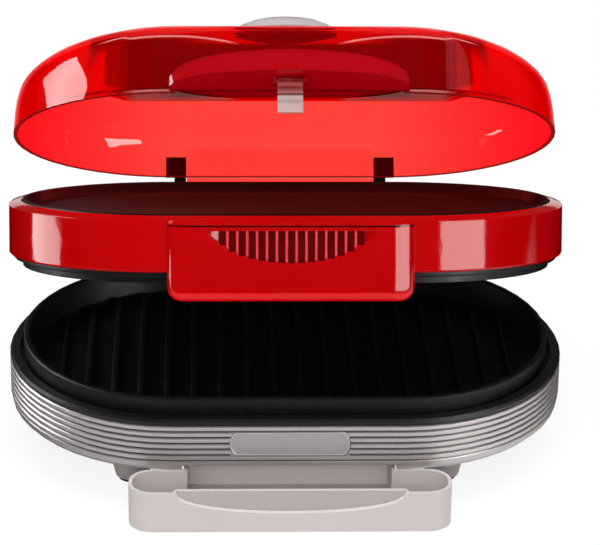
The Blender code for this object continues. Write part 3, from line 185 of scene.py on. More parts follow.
class Nodes(Tree):
    """A small builder for one material."""

    def __init__(self, name):
        self.material = bpy.data.materials.new(name)
        self.material.use_nodes = True
        super().__init__(self.material.node_tree)
        self.shader = self.tree.nodes["Principled BSDF"]
        self.output = self.tree.nodes["Material Output"]
        self.place = self.add("ShaderNodeTexCoord").outputs["Object"]

    def scaled(self, scale):
        """Object coordinates stretched by a factor along each axis."""
        node = self.add("ShaderNodeMapping")
        node.inputs["Scale"].default_value = scale
        self.link(self.place, node.inputs["Vector"])
        return node.outputs["Vector"]

    def closed_place(self, angle):
        """X, Y and Z of a point of a hinged unit as it lies when that unit is shut."""
        turn = Matrix.Rotation(angle, 3, "X")
        node = self.add("ShaderNodeMapping")
        node.inputs["Rotation"].default_value = (angle, 0, 0)
        node.inputs["Location"].default_value = HINGE - turn @ HINGE
        self.link(self.place, node.inputs["Vector"])
        return self.split(node.outputs["Vector"])

    def noise(self, scale, detail, rough=0.5, vector=None):
        node = self.add("ShaderNodeTexNoise")
        node.inputs["Scale"].default_value = scale
        node.inputs["Detail"].default_value = detail
        node.inputs["Roughness"].default_value = rough
        self.link(vector or self.place, node.inputs["Vector"])
        return node.outputs["Fac"]

    def cells(self, scale):
        """The distance from the middle of the nearest of many small cells."""
        node = self.add("ShaderNodeTexVoronoi", feature="F1")
        node.inputs["Scale"].default_value = scale
        self.link(self.place, node.inputs["Vector"])
        return node.outputs["Distance"]

    def glancing(self, low, high, to_low, to_high):
        """A number that changes as the surface turns edge-on."""
        facing = self.add("ShaderNodeLayerWeight").outputs["Facing"]
        return self.spread(facing, low, high, to_low, to_high)

    def bands(self, value, low, high, stops):
        """A colour ramp over a span; each stop is a share of the span and a colour."""
        node = self.add("ShaderNodeValToRGB")
        ramp = node.color_ramp
        while len(ramp.elements) < len(stops):
            ramp.elements.new(1)
        for element, (share, colour) in zip(ramp.elements, stops):
            element.position = share
            element.color = (*colour, 1)
        self.link(self.rise(value, low, high), node.inputs["Fac"])
        return node.outputs["Color"]

    def blend(self, factor, low, high):
        """A colour between two others."""
        node = self.add("ShaderNodeMix", data_type="RGBA")
        self.link(factor, node.inputs["Factor"])
        for key, colour in zip(COLOUR_SOCKETS, (low, high)):
            self.feed(node.inputs[key], colour)
        return node.outputs[2]

    def painted(self, colour, *coats):
        """A colour with others laid over it, each where its mask is one."""
        for mask, over in coats:
            colour = self.blend(mask, colour, over)
        return colour

    def colour(self, socket):
        self.link(socket, self.shader.inputs["Base Color"])

    def rough(self, socket):
        self.link(socket, self.shader.inputs["Roughness"])

    def bump(self, *layers, edge=0.0):
        """Stacks (height socket, depth in metres) layers; edge rounds the normals at edges."""
        normal = None
        if edge:
            rounded = self.add("ShaderNodeBevel", samples=BEVEL_SAMPLES)
            rounded.inputs["Radius"].default_value = edge
            normal = rounded.outputs["Normal"]
        for height, depth in layers:
            node = self.add("ShaderNodeBump")
            node.inputs["Distance"].default_value = depth
            self.link(height, node.inputs["Height"])
            if normal:
                self.link(normal, node.inputs["Normal"])
            normal = node.outputs["Normal"]
        self.link(normal, self.shader.inputs["Normal"])

    def settings(self, **values):
        """Constant values of the shader, its sockets' names written with underscores."""
        for key, value in values.items():
            socket = key.replace("_", " ").title().replace("Ior", "IOR")
            self.shader.inputs[socket].default_value = value

    def finish(self, grain, dull, relief, edge=0.0, noise_span=MOST_OF_NOISE, **settings):
        """Sets gloss and relief, and gives back the material.

        grain is the scale and detail of the noise that the gloss follows, dull its two
        roughnesses. Each layer of relief is a scale, a detail (none for cells) and a depth.
        """
        self.rough(self.spread(self.noise(*grain), *noise_span, *dull))
        layers = [
            (self.noise(scale, detail) if detail else self.cells(scale), depth)
            for scale, detail, depth in relief
        ]
        self.bump(*layers, edge=edge)
        self.settings(**settings)
        return self.material

    def lets_lamps_through(self, tint):
        """A see-through shell that casts a coloured shadow instead of a black one."""
        clear = self.add("ShaderNodeBsdfTransparent")
        self.feed(clear.inputs["Color"], tint)
        mix = self.add("ShaderNodeMixShader")
        self.link(self.add("ShaderNodeLightPath").outputs["Is Shadow Ray"], mix.inputs[0])
        self.link(self.shader.outputs["BSDF"], mix.inputs[1])
        self.link(clear.outputs["BSDF"], mix.inputs[2])
        self.link(mix.outputs["Shader"], self.output.inputs["Surface"])


# Places on the pieces
# Spans along X, Y or Z are in metres, on hinged units as they lie shut. OUT is the distance
# from the middle plane, and a third number is the softness of a span's ends.


# Red of the middle unit

RED_DRIFT = (18, 2)
RED_TONES = ((0.52, 0.0003, 0.0015), (0.60, 0.0006, 0.0025))
GLOSSY = {
    "grain": (260, 4), "dull": (0.045, 0.11), "noise_span": GLOSS_NOISE,
    "relief": ((420, 2, 0.00003), (60, 2, 0.00006)), "edge": 0.0006, "ior": 1.38,
}
HANDLE_FRONT = -0.1197
HANDLE_FOOT_Z = (0.0640, 0.0655)
SLOT_PITCH = 0.0052
SLOT_ROW_HALF = 0.0388
SLOT_ROW_OUT = (SLOT_ROW_HALF - 0.0004, SLOT_ROW_HALF)
SLOT_Y = (HANDLE_FRONT + 0.0004, HANDLE_FRONT + 0.0009)
SLOT_TOP = 0.0975
SLOT_Z = (0.0800, SLOT_TOP, 0.0002)
SHIFT = 1.0
RIB_SHARE = (0.385, 0.42)
RIB_OUT = (0.0375, 0.0377)
RIB_Y = (HANDLE_FRONT + 0.0003, HANDLE_FRONT + 0.0007)
RIB_FOOT = (0.0, 0.0006)
SLOT_FOOT_RADIUS = 0.0405
SLOT_FOOT_DEPTH = 0.0165
SEAM_Y = (HANDLE_FRONT + 0.0001, HANDLE_FRONT + 0.0004)
SEAM_Z = (0.0995, 0.1005, 0.0001)
HANDLE_TONES = ((0.50, 0.0003, 0.0015), (0.58, 0.0006, 0.0025))
# Painted shade: the dark red inside the finger slots
SLOT_SHADE_RED = (0.20, 0.0004, 0.0012)
# Painted highlight: the pale red on the rib edges between the slots
RIB_HIGHLIGHT_RED = (0.86, 0.055, 0.075)
# Painted highlight: the brighter red along the handle's rounded foot, which mirrors the floor
HANDLE_FOOT_HIGHLIGHT_RED = (0.84, 0.0010, 0.0040)
SEAM_RED = (0.12, 0.0003, 0.0008)


def red_gloss():
    """The red of the middle unit's shell."""
    n = Nodes("red_gloss_plastic")
    n.colour(n.blend(n.noise(*RED_DRIFT), *RED_TONES))
    return n.finish(**GLOSSY)


def handle_red():
    """The grip's red, with painted shade in its finger slots, a dark seam, painted highlights on
    the ribs between the slots and a painted highlight along its rounded foot.
    """
    n = Nodes("red_gloss_grip")
    x, y, z = n.closed_place(MIDDLE_OPEN)
    out = n.size_of(x)
    in_row = n.span(z, *SLOT_Z)
    # Painted shade: the finger slots are coloured dark where shade falls in them
    slot_shade = n.all_of(n.rise(y, *SLOT_Y), n.fall(out, *SLOT_ROW_OUT), in_row)
    slots_along = n.maths("FRACT", n.times(n.plus(x, SHIFT), 1 / SLOT_PITCH))
    phase = (SHIFT / SLOT_PITCH) % 1
    from_slot = n.maths("PINGPONG", n.minus(n.plus(slots_along, 1.0), phase), 0.5)
    bow = n.maths("SQRT", n.minus(1.0, n.square(n.times(x, 1 / SLOT_FOOT_RADIUS))))
    over_foot = n.minus(n.plus(z, n.times(bow, SLOT_FOOT_DEPTH)), SLOT_TOP)
    # Painted highlight: pale bands on the ribs between the slots
    rib_highlight = n.all_of(
        n.rise(from_slot, *RIB_SHARE), n.fall(out, *RIB_OUT), in_row,
        n.rise(over_foot, *RIB_FOOT), n.fall(y, *RIB_Y),
    )
    in_seam = n.all_of(n.rise(y, *SEAM_Y), n.span(z, *SEAM_Z))
    n.colour(n.painted(
        n.blend(n.noise(*RED_DRIFT), *HANDLE_TONES),
        (slot_shade, SLOT_SHADE_RED), (rib_highlight, RIB_HIGHLIGHT_RED),
        # Painted highlight along the rounded foot, which mirrors the floor
        (n.fall(z, *HANDLE_FOOT_Z), HANDLE_FOOT_HIGHLIGHT_RED), (in_seam, SEAM_RED),
    ))
    return n.finish(**GLOSSY)


# Clear reds of the lid

CLEAR_FINISH = {
    "grain": (300, 3), "dull": (0.015, 0.045), "noise_span": GLOSS_NOISE,
    "relief": ((70, 2, 0.00004),), "ior": 1.015, "coat_roughness": 0.02,
}
COAT_BY_ANGLE = (0.38, 0.62, 1.0, 0.03)

STREAKS = (22, 2)
STREAK_SHARE = 0.15
ENDS_OUT = (0.06, 0.145)
FRONT_Y = (-0.088, -0.060)
FRONT_END_OUT = (0.122, 0.140)
FRONT_END_Y = (-0.040, -0.005)
RECESS_OUT = (0.106, 0.110)
RECESS_FRONT_Y = (-0.096, -0.092)
RECESS_BACK_Y = (-0.058, -0.046)
RECESS_LOW_Z = (0.108, 0.112)
RECESS_HIGH_Z = (0.139, 0.146)
CREST_OUT = (0.030, 0.060)
CREST_Y = (-0.0920, -0.0690, 0.002)
CREST_Z = (0.1368, 0.1378)
BESIDE_OUT = (0.080, 0.0985, 0.002)
BESIDE_Y = (-0.094, -0.092)
ARC_OUT = 0.064
ARC_TOP = 0.1412
ARC_DROOP = 3.2
LIP_WIDTH = (0.0003, 0.0009)
LIP_OUT = (0.034, 0.098, 0.008)
LIP_Y = (-0.0900, -0.0895)
LEDGE_OUT = (0.034, 0.082, 0.010)
LEDGE_Y = (-0.090, -0.088)
LEDGE_Z = (0.1056, 0.1060)
LEDGE_TOP_Y = (-0.088, -0.086)
LEDGE_TOP_Z = (0.1063, 0.1073, 0.0002)
LID_RIM_Z = (0.1043, 0.1047)
MATT_OUT = (0.0755, 0.1030, 0.001)
MATT_Y = (-0.0905, -0.0895)
MATT_GLOSS = (0, 0.5, 1.0, 0.04)
EDGE_MILKINESS = 0.7
MILKY_CLEARNESS = (1.0, 0.25)

LID_MIDDLE_RED = (1.0, 0.056, 0.042)
LID_END_RED = (0.95, 0.0045, 0.011)
LID_STREAK_RED = (0.93, 0.028, 0.026)
LID_FRONT_RED = (0.76, 0.0055, 0.0085)
LID_FRONT_END_RED = (0.62, 0.0025, 0.0045)
# Painted shade: the dark red of the grip's recess
RECESS_SHADE_RED = (0.21, 0.0004, 0.0010)
CREST_RED = (0.62, 0.0016, 0.0022)
# Painted shade: the dark red of the pockets beside the grip
BESIDE_SHADE_RED = (0.34, 0.0012, 0.0020)
# Painted highlight: the pale pink along the recess's top edge
LIP_HIGHLIGHT_PINK = (1.0, 0.50, 0.48)
# Painted reflection: the greyish pink on the ledge under the grip
LEDGE_REFLECTION_PINK = (0.66, 0.26, 0.25)
LEDGE_TOP_RED = (0.30, 0.0010, 0.0020)
LID_RIM_RED = (0.40, 0.012, 0.012)
LID_SHADOW = (0.42, 0.012, 0.010)
LID_EDGE = 0.0010

GRIP_DRIFT = (25, 3)
GRIP_TONES = ((0.56, 0.0008, 0.007), (0.63, 0.0014, 0.010))
GRIP_SHADOW = (0.4, 0.01, 0.01)
GRIP_CLEARNESS = 0.3
GRIP_EDGE = 0.0040

LEAF_DRIFT = (40, 2)
LEAF_TONES = ((1.0, 0.050, 0.042), (1.0, 0.060, 0.050))
LEAF_CLEAR = (1.0, 0.88, 0.86)
LEAF_CLEAR_Z = (0.1045, 0.1055)
LEAF_SHADOW = (0.8, 0.3, 0.3)
LEAF_EDGE = 0.0005


def see_through(n, shadow, edge, clear=1.0, gloss=1.0):
    """Finish shared by the lid's red mouldings; seen edge-on, they mirror less."""
    material = n.finish(**CLEAR_FINISH, edge=edge)
    n.link(n.times(n.glancing(*COAT_BY_ANGLE), gloss), n.shader.inputs["Coat Weight"])
    n.feed(n.shader.inputs["Transmission Weight"], clear)
    n.lets_lamps_through(shadow)
    return material


def lid_red():
    """Clear red, deeper to the front, at the ends and on the crest, with painted shade in the
    grip's recess and the pockets beside it, a painted highlight along the recess's top edge, a
    painted reflection on the ledge below, a dark band on the ledge's top and a darker rim.
    """
    n = Nodes("red_translucent_plastic")
    x, y, z = n.closed_place(LID_OPEN)
    out = n.size_of(x)
    front_end = n.all_of(n.rise(out, *FRONT_END_OUT), n.fall(y, *FRONT_END_Y))
    behind = n.all_of(n.rise(y, *RECESS_FRONT_Y), n.fall(y, *RECESS_BACK_Y))
    above = n.all_of(n.rise(z, *RECESS_LOW_Z), n.fall(z, *RECESS_HIGH_Z))
    # Painted shade: the recess behind the grip is coloured dark where shade falls in it
    recess_shade = n.all_of(n.fall(out, *RECESS_OUT), behind, above)
    crest = n.all_of(n.fall(out, *CREST_OUT), n.span(y, *CREST_Y), n.rise(z, *CREST_Z))
    # Painted shade in the pockets beside the grip
    beside_shade = n.all_of(n.span(out, *BESIDE_OUT), n.fall(y, *BESIDE_Y), above)
    # Painted highlight: a pale pink line along the recess's top edge, which follows this arc
    droop = n.times(n.square(n.minus(out, ARC_OUT)), ARC_DROOP)
    off_arc = n.size_of(n.minus(z, n.minus(ARC_TOP, droop)))
    lip_highlight = n.all_of(n.fall(off_arc, *LIP_WIDTH), n.fall(y, *LIP_Y), n.span(out, *LIP_OUT))
    # Painted reflection: a greyish pink band on the ledge under the grip
    ledge_reflection = n.all_of(n.span(out, *LEDGE_OUT), n.fall(y, *LEDGE_Y), n.fall(z, *LEDGE_Z))
    ledge_top = n.all_of(n.span(z, *LEDGE_TOP_Z), n.fall(y, *LEDGE_TOP_Y))
    rim = n.fall(z, *LID_RIM_Z)
    n.colour(n.painted(
        LID_MIDDLE_RED,
        (n.rise(out, *ENDS_OUT), LID_END_RED),
        (n.spread(n.noise(*STREAKS), *MOST_OF_NOISE, 0, STREAK_SHARE), LID_STREAK_RED),
        (n.fall(y, *FRONT_Y), LID_FRONT_RED), (front_end, LID_FRONT_END_RED),
        (recess_shade, RECESS_SHADE_RED), (crest, CREST_RED), (beside_shade, BESIDE_SHADE_RED), (lip_highlight, LIP_HIGHLIGHT_PINK),
        (ledge_reflection, LEDGE_REFLECTION_PINK), (ledge_top, LEDGE_TOP_RED), (rim, LID_RIM_RED),
    ))
    # The painted highlight and reflection bands and the rim let less light through
    milky = n.larger(n.times(n.larger(ledge_reflection, lip_highlight), EDGE_MILKINESS), rim)
    clear = n.spread(milky, 0, 1, *MILKY_CLEARNESS)
    matt = n.all_of(n.span(out, *MATT_OUT), n.fall(y, *MATT_Y))
    return see_through(n, LID_SHADOW, LID_EDGE, clear, n.spread(matt, *MATT_GLOSS))


def grip_red():
    """The deeper red of the thick grip on the lid."""
    n = Nodes("deep_translucent_red")
    n.colour(n.blend(n.noise(*GRIP_DRIFT), *GRIP_TONES))
    return see_through(n, GRIP_SHADOW, GRIP_EDGE, GRIP_CLEARNESS)


def leaf_red():
    """The hinge leaf: red at its edge, nearly clear where it lies on the lid."""
    n = Nodes("hinge_leaf_red")
    z = n.closed_place(LID_OPEN)[2]
    red = n.blend(n.noise(*LEAF_DRIFT), *LEAF_TONES)
    n.colour(n.painted(red, (n.rise(z, *LEAF_CLEAR_Z), LEAF_CLEAR)))
    return see_through(n, LEAF_SHADOW, LEAF_EDGE)


# Silver of the base, with its flutes and nameplate recess

BASE_TOP = 0.050
FLUTE_PITCH = 0.00345
FLUTE_COUNT = 6
FLUTE_Z = (BASE_TOP - FLUTE_COUNT * FLUTE_PITCH - 0.0004, BASE_TOP, 0.0002)
GROOVE_SHARE = (0.30, 0.46)
NAMEPLATE_OUT = (0.0318, 0.0324)
NAMEPLATE_Y = (-0.1110, -0.1100)
NAMEPLATE_Z = (0.0308, 0.0455, 0.0002)
FLAKES = 2600
FLAKE_SPAN = (0.1, 0.7)
FLAKE_DEPTH = 0.00001
SILVER_DRIFT = (25, 3)
SILVER_TONES = ((0.60, 0.565, 0.56), (0.51, 0.475, 0.47))
SILVER_DULL = (0.30, 0.40)
SILVER_WAVES = (120, 3)
SILVER_WAVE_DEPTH = 0.00002
SILVER_EDGE = 0.0004
# Painted shade: the dark grey in the grooves between the flutes
GROOVE_SHADE_GREY = (0.13, 0.115, 0.115)


def silver_paint():
    """Metallic paint, with painted shade in the grooves between the flutes."""
    n = Nodes("silver_metallic_paint")
    flakes = n.cells(FLAKES)
    silver = n.blend(n.rise(flakes, *FLAKE_SPAN), *SILVER_TONES)
    x, y, z = n.split(n.place)
    flutes_down = n.times(n.minus(BASE_TOP, z), 1 / FLUTE_PITCH)
    from_crest = n.maths("PINGPONG", n.plus(flutes_down, 0.5), 0.5)
    on_plate = n.all_of(
        n.fall(n.size_of(x), *NAMEPLATE_OUT), n.fall(y, *NAMEPLATE_Y), n.span(z, *NAMEPLATE_Z),
    )
    # Painted shade: the grooves between the flutes are coloured dark where shade falls in them,
    # except on the nameplate
    groove_shade = n.all_of(
        n.rise(from_crest, *GROOVE_SHARE), n.span(z, *FLUTE_Z), n.fall(on_plate, 0, 1),
    )
    n.colour(n.painted(silver, (groove_shade, GROOVE_SHADE_GREY)))
    n.rough(n.spread(n.noise(*SILVER_DRIFT), *MOST_OF_NOISE, *SILVER_DULL))
    waves = n.noise(*SILVER_WAVES)
    n.bump((flakes, FLAKE_DEPTH), (waves, SILVER_WAVE_DEPTH), edge=SILVER_EDGE)
    n.settings(metallic=0.6, coat_weight=0.15, coat_roughness=0.15)
    return n.material


# Grey of the drip tray

TRAY_DIP = -0.1356
TRAY_DIP_Y = (TRAY_DIP - 0.0003, TRAY_DIP + 0.0024, 0.0001)
TRAY_LIP_Y = (-0.1391, TRAY_DIP - 0.0004, 0.0001)
TRAY_LIP_Z = (0.010, 0.011)
TRAY_MIDDLE_OUT = (0.0608, 0.0612)
TRAY_BELOW_RIM_Z = (0.0230, 0.0232)
TRAY_RIM_Z = (0.02320, 0.02335)
TRAY_RIM_SHARE = 0.7
TRAY_BACK_Y = (-0.0880, -0.0875)
TRAY_DRIFT = (14, 3)
TRAY_TONES = ((0.67, 0.61, 0.60), (0.73, 0.67, 0.66))
# Painted shade: the darker grey in the dip behind the front lip
TRAY_DIP_SHADE_GREY = (0.52, 0.455, 0.45)
# Painted light: the paler grey of the back wall, standing in for light that falls on it
TRAY_BACK_LIT_GREY = (0.98, 0.92, 0.91)
# Painted highlight: the pale grey on the lip and rim edges
TRAY_LIP_HIGHLIGHT_GREY = (0.95, 0.90, 0.89)


def warm_grey():
    """The tray's plastic, with painted shade in the dip behind its front lip, painted light on its
    back wall and painted highlights on its edges.
    """
    n = Nodes("warm_grey_plastic")
    x, y, z = n.split(n.place)
    middle = n.fall(n.size_of(x), *TRAY_MIDDLE_OUT)
    below_rim = n.fall(z, *TRAY_BELOW_RIM_Z)
    # Painted shade in the dip behind the front lip
    dip_shade = n.all_of(middle, below_rim, n.span(y, *TRAY_DIP_Y))
    # Painted highlights: pale lines on the front lip and along the top rim
    front_lip_highlight = n.all_of(middle, below_rim, n.span(y, *TRAY_LIP_Y), n.rise(z, *TRAY_LIP_Z))
    lip_highlight = n.larger(front_lip_highlight, n.spread(z, *TRAY_RIM_Z, 0, TRAY_RIM_SHARE))
    # Painted light: the back wall is coloured paler where more light falls on it
    back_wall_light = n.all_of(middle, n.rise(y, *TRAY_BACK_Y))
    n.colour(n.painted(
        n.blend(n.noise(*TRAY_DRIFT), *TRAY_TONES),
        (dip_shade, TRAY_DIP_SHADE_GREY), (back_wall_light, TRAY_BACK_LIT_GREY), (lip_highlight, TRAY_LIP_HIGHLIGHT_GREY),
    ))
    return n.finish(
        grain=(500, 4), dull=(0.36, 0.5), relief=((1500, 3, 0.00002), (90, 2, 0.00004)),
        edge=0.0006,
    )


# Nonstick coatings

WARMER_RIM_Z = (0.1005, 0.1015)
WARMER_RIM_BLACK = (0.003, 0.0025, 0.0025)
SPECKS = (2600, 2)
SPECK_SPAN = (0.62, 0.72)
COATING_DRIFT = (35, 4)
COATING_GRAIN = (140, 4)
COATING_DULL_RANGE = 0.16
COATING_ANGLES = (0.50, 0.75)
COATING_WAVES = (1900, 4)
COATING_WAVE_DEPTH = 0.00004
COATING_CELLS = 700
COATING_CELL_DEPTH = 0.00002
COATING_EDGE = 0.0008


def nonstick(name, tones, specks, dull, ior, edge_on=0.0):
    """Black coating; edge_on is its roughness seen at a glancing angle, on the warming plate."""
    n = Nodes(name)
    speck = n.rise(n.noise(*SPECKS), *SPECK_SPAN)
    base = n.painted(n.blend(n.noise(*COATING_DRIFT), *tones), (speck, specks))
    rough = n.spread(n.noise(*COATING_GRAIN), *MOST_OF_NOISE, dull, dull + COATING_DULL_RANGE)
    if edge_on:
        z = n.closed_place(MIDDLE_OPEN)[2]
        base = n.painted(base, (n.rise(z, *WARMER_RIM_Z), WARMER_RIM_BLACK))
        rough = n.larger(rough, n.glancing(*COATING_ANGLES, 0, edge_on))
    n.colour(base)
    n.rough(rough)
    waves, cells = n.noise(*COATING_WAVES), n.cells(COATING_CELLS)
    n.bump((waves, COATING_WAVE_DEPTH), (cells, COATING_CELL_DEPTH), edge=COATING_EDGE)
    n.settings(ior=ior)
    return n.material


# Latch: painted reflections in its moulded steps, as bands from its foot to its top

LATCH_SPAN = (0.090, 0.110)
LATCH_REFLECTION_BANDS = (
    (0.00, (0.90, 0.70, 0.68)), (0.05, (0.70, 0.62, 0.61)), (0.26, (0.66, 0.61, 0.60)),
    (0.29, (0.50, 0.47, 0.45)), (0.36, (0.56, 0.50, 0.49)), (0.39, (0.72, 0.62, 0.61)),
    (0.46, (0.78, 0.62, 0.61)), (0.49, (0.20, 0.060, 0.055)), (0.53, (0.24, 0.060, 0.060)),
    (0.56, (0.60, 0.20, 0.20)), (0.62, (0.46, 0.10, 0.11)), (0.68, (0.26, 0.03, 0.03)),
    (0.72, (0.30, 0.03, 0.03)), (0.77, (0.66, 0.12, 0.12)), (0.82, (0.46, 0.06, 0.06)),
    (0.86, (0.24, 0.004, 0.004)), (1.00, (0.34, 0.008, 0.008)),
)
LATCH_CLOUDS = (160, 3)
LATCH_CLOUD_SHARE = 0.12
LATCH_CLOUD_GREY = (0.45, 0.42, 0.42)
LATCH_SHADOW = (0.9, 0.9, 0.9)


def clear_plastic():
    """The latch's clear plastic, with what its steps mirror."""
    n = Nodes("clear_grey_plastic")
    # Painted reflections: what each moulded step mirrors, as bands up the latch
    mirrored_steps = n.bands(n.closed_place(LID_OPEN)[2], *LATCH_SPAN, LATCH_REFLECTION_BANDS)
    clouds = n.spread(n.noise(*LATCH_CLOUDS), *MOST_OF_NOISE, 0, LATCH_CLOUD_SHARE)
    n.colour(n.painted(mirrored_steps, (clouds, LATCH_CLOUD_GREY)))
    material = n.finish(
        grain=(400, 3), dull=(0.06, 0.14), relief=((150, 2, 0.00004),), edge=0.0004,
        ior=1.45, transmission_weight=0.4,
    )
    n.lets_lamps_through(LATCH_SHADOW)
    return material


# Plain materials and metals

PLAIN = {
    "grey_foot_plastic": {
        "tones": ((0.42, 0.375, 0.37), (0.50, 0.455, 0.45)), "drift": (60, 3),
        "grain": (800, 3), "dull": (0.34, 0.46),
        "relief": ((1400, 3, 0.00002),), "edge": 0.0005,
    },
    "black_textured_plastic": {
        "tones": ((0.005, 0.0046, 0.0045), (0.011, 0.0100, 0.0098)), "drift": (40, 3),
        "grain": (900, 3), "dull": (0.32, 0.5),
        "relief": ((1600, None, 0.00003), (110, 3, 0.00003)), "edge": 0.0006,
    },
    "black_rubber": {
        "tones": ((0.016, 0.016, 0.016), (0.030, 0.029, 0.028)), "drift": (200, 4),
        "grain": (700, 4), "dull": (0.7, 0.9), "relief": ((1200, 4, 0.00005),),
    },
    "pearl_grey_badge": {
        "tones": ((0.62, 0.55, 0.56), (0.70, 0.63, 0.64)), "drift": (50, 3),
        "grain": (700, 3), "dull": (0.22, 0.34),
        "relief": ((900, 3, 0.00002),), "edge": 0.0008,
    },
    "glazed_ceramic": {
        "tones": ((0.66, 0.63, 0.57), (0.76, 0.74, 0.69)), "drift": (90, 4),
        "grain": (400, 3), "dull": (0.35, 0.6),
        "relief": ((800, 4, 0.00004),), "edge": 0.0004,
    },
    "heat_tinted_tube": {
        "tones": ((0.22, 0.17, 0.13), (0.40, 0.36, 0.34)), "drift": (28, 3),
        "grain": (300, 4), "dull": (0.35, 0.55), "relief": ((500, 3, 0.00003),),
        "metallic": 1.0,
    },
}
SCRATCHES = (1, 4, 0.6)
STEEL_DULL_RANGE = 0.18
STEEL = {"depth": 0.00002, "edge": 0.0003, "metallic": 1.0}
LABEL_DULL = (0.30, 0.42)
LABEL = {"depth": 0.00001, "edge": 0.0002, "metallic": 0.5}


def plain(name):
    """A material whose colour drifts between two tones."""
    finish = dict(PLAIN[name])
    tones, drift = finish.pop("tones"), finish.pop("drift")
    n = Nodes(name)
    n.colour(n.blend(n.noise(*drift), *tones))
    return n.finish(**finish)


def brushed(name, tones, grain, dull, depth, edge, metallic):
    """Brushed metal, its scratches running along the axes with the small grain numbers."""
    n = Nodes(name)
    scratches = n.noise(*SCRATCHES, vector=n.scaled(grain))
    n.colour(n.blend(scratches, *tones))
    n.rough(n.spread(scratches, *MOST_OF_NOISE, *dull))
    n.bump((scratches, depth), edge=edge)
    n.settings(metallic=metallic)
    return n.material


def steel(name, tones, grain, dull):
    """Bare metal; dull is its roughness where it shines most."""
    return brushed(name, tones, grain, (dull, dull + STEEL_DULL_RANGE), **STEEL)


def metal_label(name, tones, grain):
    """Painted metal sheet with fine brushing."""
    return brushed(name, tones, grain, LABEL_DULL, **LABEL)


# Smoothing

CREASE_ANGLE = math.radians(30)
WELD_DISTANCE = 0.00002
SMOOTHING = "smooth_with_creases"


def smoothing_group():
    """Joins the split points of a CAD mesh and shades it smooth, with its creases kept sharp."""
    group = bpy.data.node_groups.new(SMOOTHING, "GeometryNodeTree")
    for direction in ("INPUT", "OUTPUT"):
        group.interface.new_socket(
            "Geometry", in_out=direction, socket_type="NodeSocketGeometry",
        )
    start = group.nodes.new("NodeGroupInput")
    weld = group.nodes.new("GeometryNodeMergeByDistance")
    weld.inputs["Distance"].default_value = WELD_DISTANCE
    faces = group.nodes.new("GeometryNodeSetShadeSmooth")
    faces.domain = "FACE"
    angle = group.nodes.new("GeometryNodeInputMeshEdgeAngle")
    crease = group.nodes.new("FunctionNodeCompare")
    crease.data_type = "FLOAT"
    crease.operation = "GREATER_THAN"
    crease.inputs["B"].default_value = CREASE_ANGLE
    edges = group.nodes.new("GeometryNodeSetShadeSmooth")
    edges.domain = "EDGE"
    edges.inputs["Shade Smooth"].default_value = False
    end = group.nodes.new("NodeGroupOutput")
    for source, target in (
        (start.outputs[0], weld.inputs["Geometry"]),
        (weld.outputs[0], faces.inputs["Geometry"]),
        (faces.outputs[0], edges.inputs["Geometry"]),
        (angle.outputs["Unsigned Angle"], crease.inputs["A"]),
        (crease.outputs[0], edges.inputs["Selection"]),
        (edges.outputs[0], end.inputs[0]),
    ):
        group.links.new(source, target)
    return group


def smooth(piece):
    """Gives an object the smoothing modifier."""
    piece.modifiers.new(SMOOTHING, "NODES").node_group = bpy.data.node_groups[SMOOTHING]


# Finishes of the CAD nodes

def frame_finishes():
    """The material of each CAD node; those left out are of the black plastic or rubber."""
    pan = nonstick(
        "pan_coating", tones=((0.0035, 0.0030, 0.0030), (0.0075, 0.0068, 0.0066)),
        specks=(0.05, 0.047, 0.046), dull=0.36, ior=1.34,
    )
    # Painted light: the warming plate's red tones and specks stand for red light cast through the
    # lid; its rim is painted plain black
    warm = nonstick(
        "warming_coating_painted_red", tones=((0.014, 0.0012, 0.0014), (0.026, 0.0022, 0.0026)),
        specks=(0.036, 0.008, 0.008), dull=0.30, ior=1.37, edge_on=0.9,
    )
    reflector = steel(
        "rolled_aluminium", ((0.52, 0.52, 0.53), (0.68, 0.68, 0.69)), (40, 900, 40), 0.22,
    )
    pin = steel("turned_steel", ((0.42, 0.42, 0.43), (0.58, 0.58, 0.59)), (900, 60, 60), 0.2)
    feet, tube, white = map(plain, ("grey_foot_plastic", "heat_tinted_tube", "glazed_ceramic"))
    return {
        "middle_shell": red_gloss(), "middle_handle": handle_red(),
        "lid_shell": lid_red(), "lid_handle": grip_red(), "lid_hinge_leaf": leaf_red(),
        "base_shell": silver_paint(), "foot_front_left": feet, "foot_front_right": feet,
        "foot_rear_left": feet, "foot_rear_right": feet,
        "grill_pan": pan, "press_plate": pan, "warming_plate": warm,
        "drip_tray": warm_grey(), "lid_latch": clear_plastic(),
        "lid_badge": plain("pearl_grey_badge"),
        "base_heating_tube": tube, "middle_heating_tube": tube,
        "base_reflector": reflector, "middle_reflector": reflector,
        "thermostat": white, "thermal_fuse": white, "terminal_block": white,
        "middle_thermal_fuse": white,
        "hinge_pin_left": pin, "hinge_pin_right": pin, "latch_pin": pin,
        "cover_screw_left": pin, "cover_screw_right": pin,
    }


def dress_frame():
    """Gives each CAD node its finished material and smooth shading."""
    finishes = frame_finishes()
    black, pads = plain("black_textured_plastic"), plain("black_rubber")
    smoothing_group()
    for name, node in nodes.items():
        material = finishes.get(name, pads if "pad" in name else black)
        node.data.materials.clear()
        node.data.materials.append(material)
        for attribute in ("custom_normal", "sharp_edge", "sharp_face"):
            if attribute in node.data.attributes:
                node.data.attributes.remove(node.data.attributes[attribute])
        smooth(node)


# Details of the scene, in millimetres as they lie with their unit shut

def opened(angle):
    """Takes a point of a shut hinged unit to where it lies with the unit open."""
    turn = Matrix.Rotation(-angle, 4, "X")
    return Matrix.Translation(HINGE) @ turn @ Matrix.Translation(-HINGE)


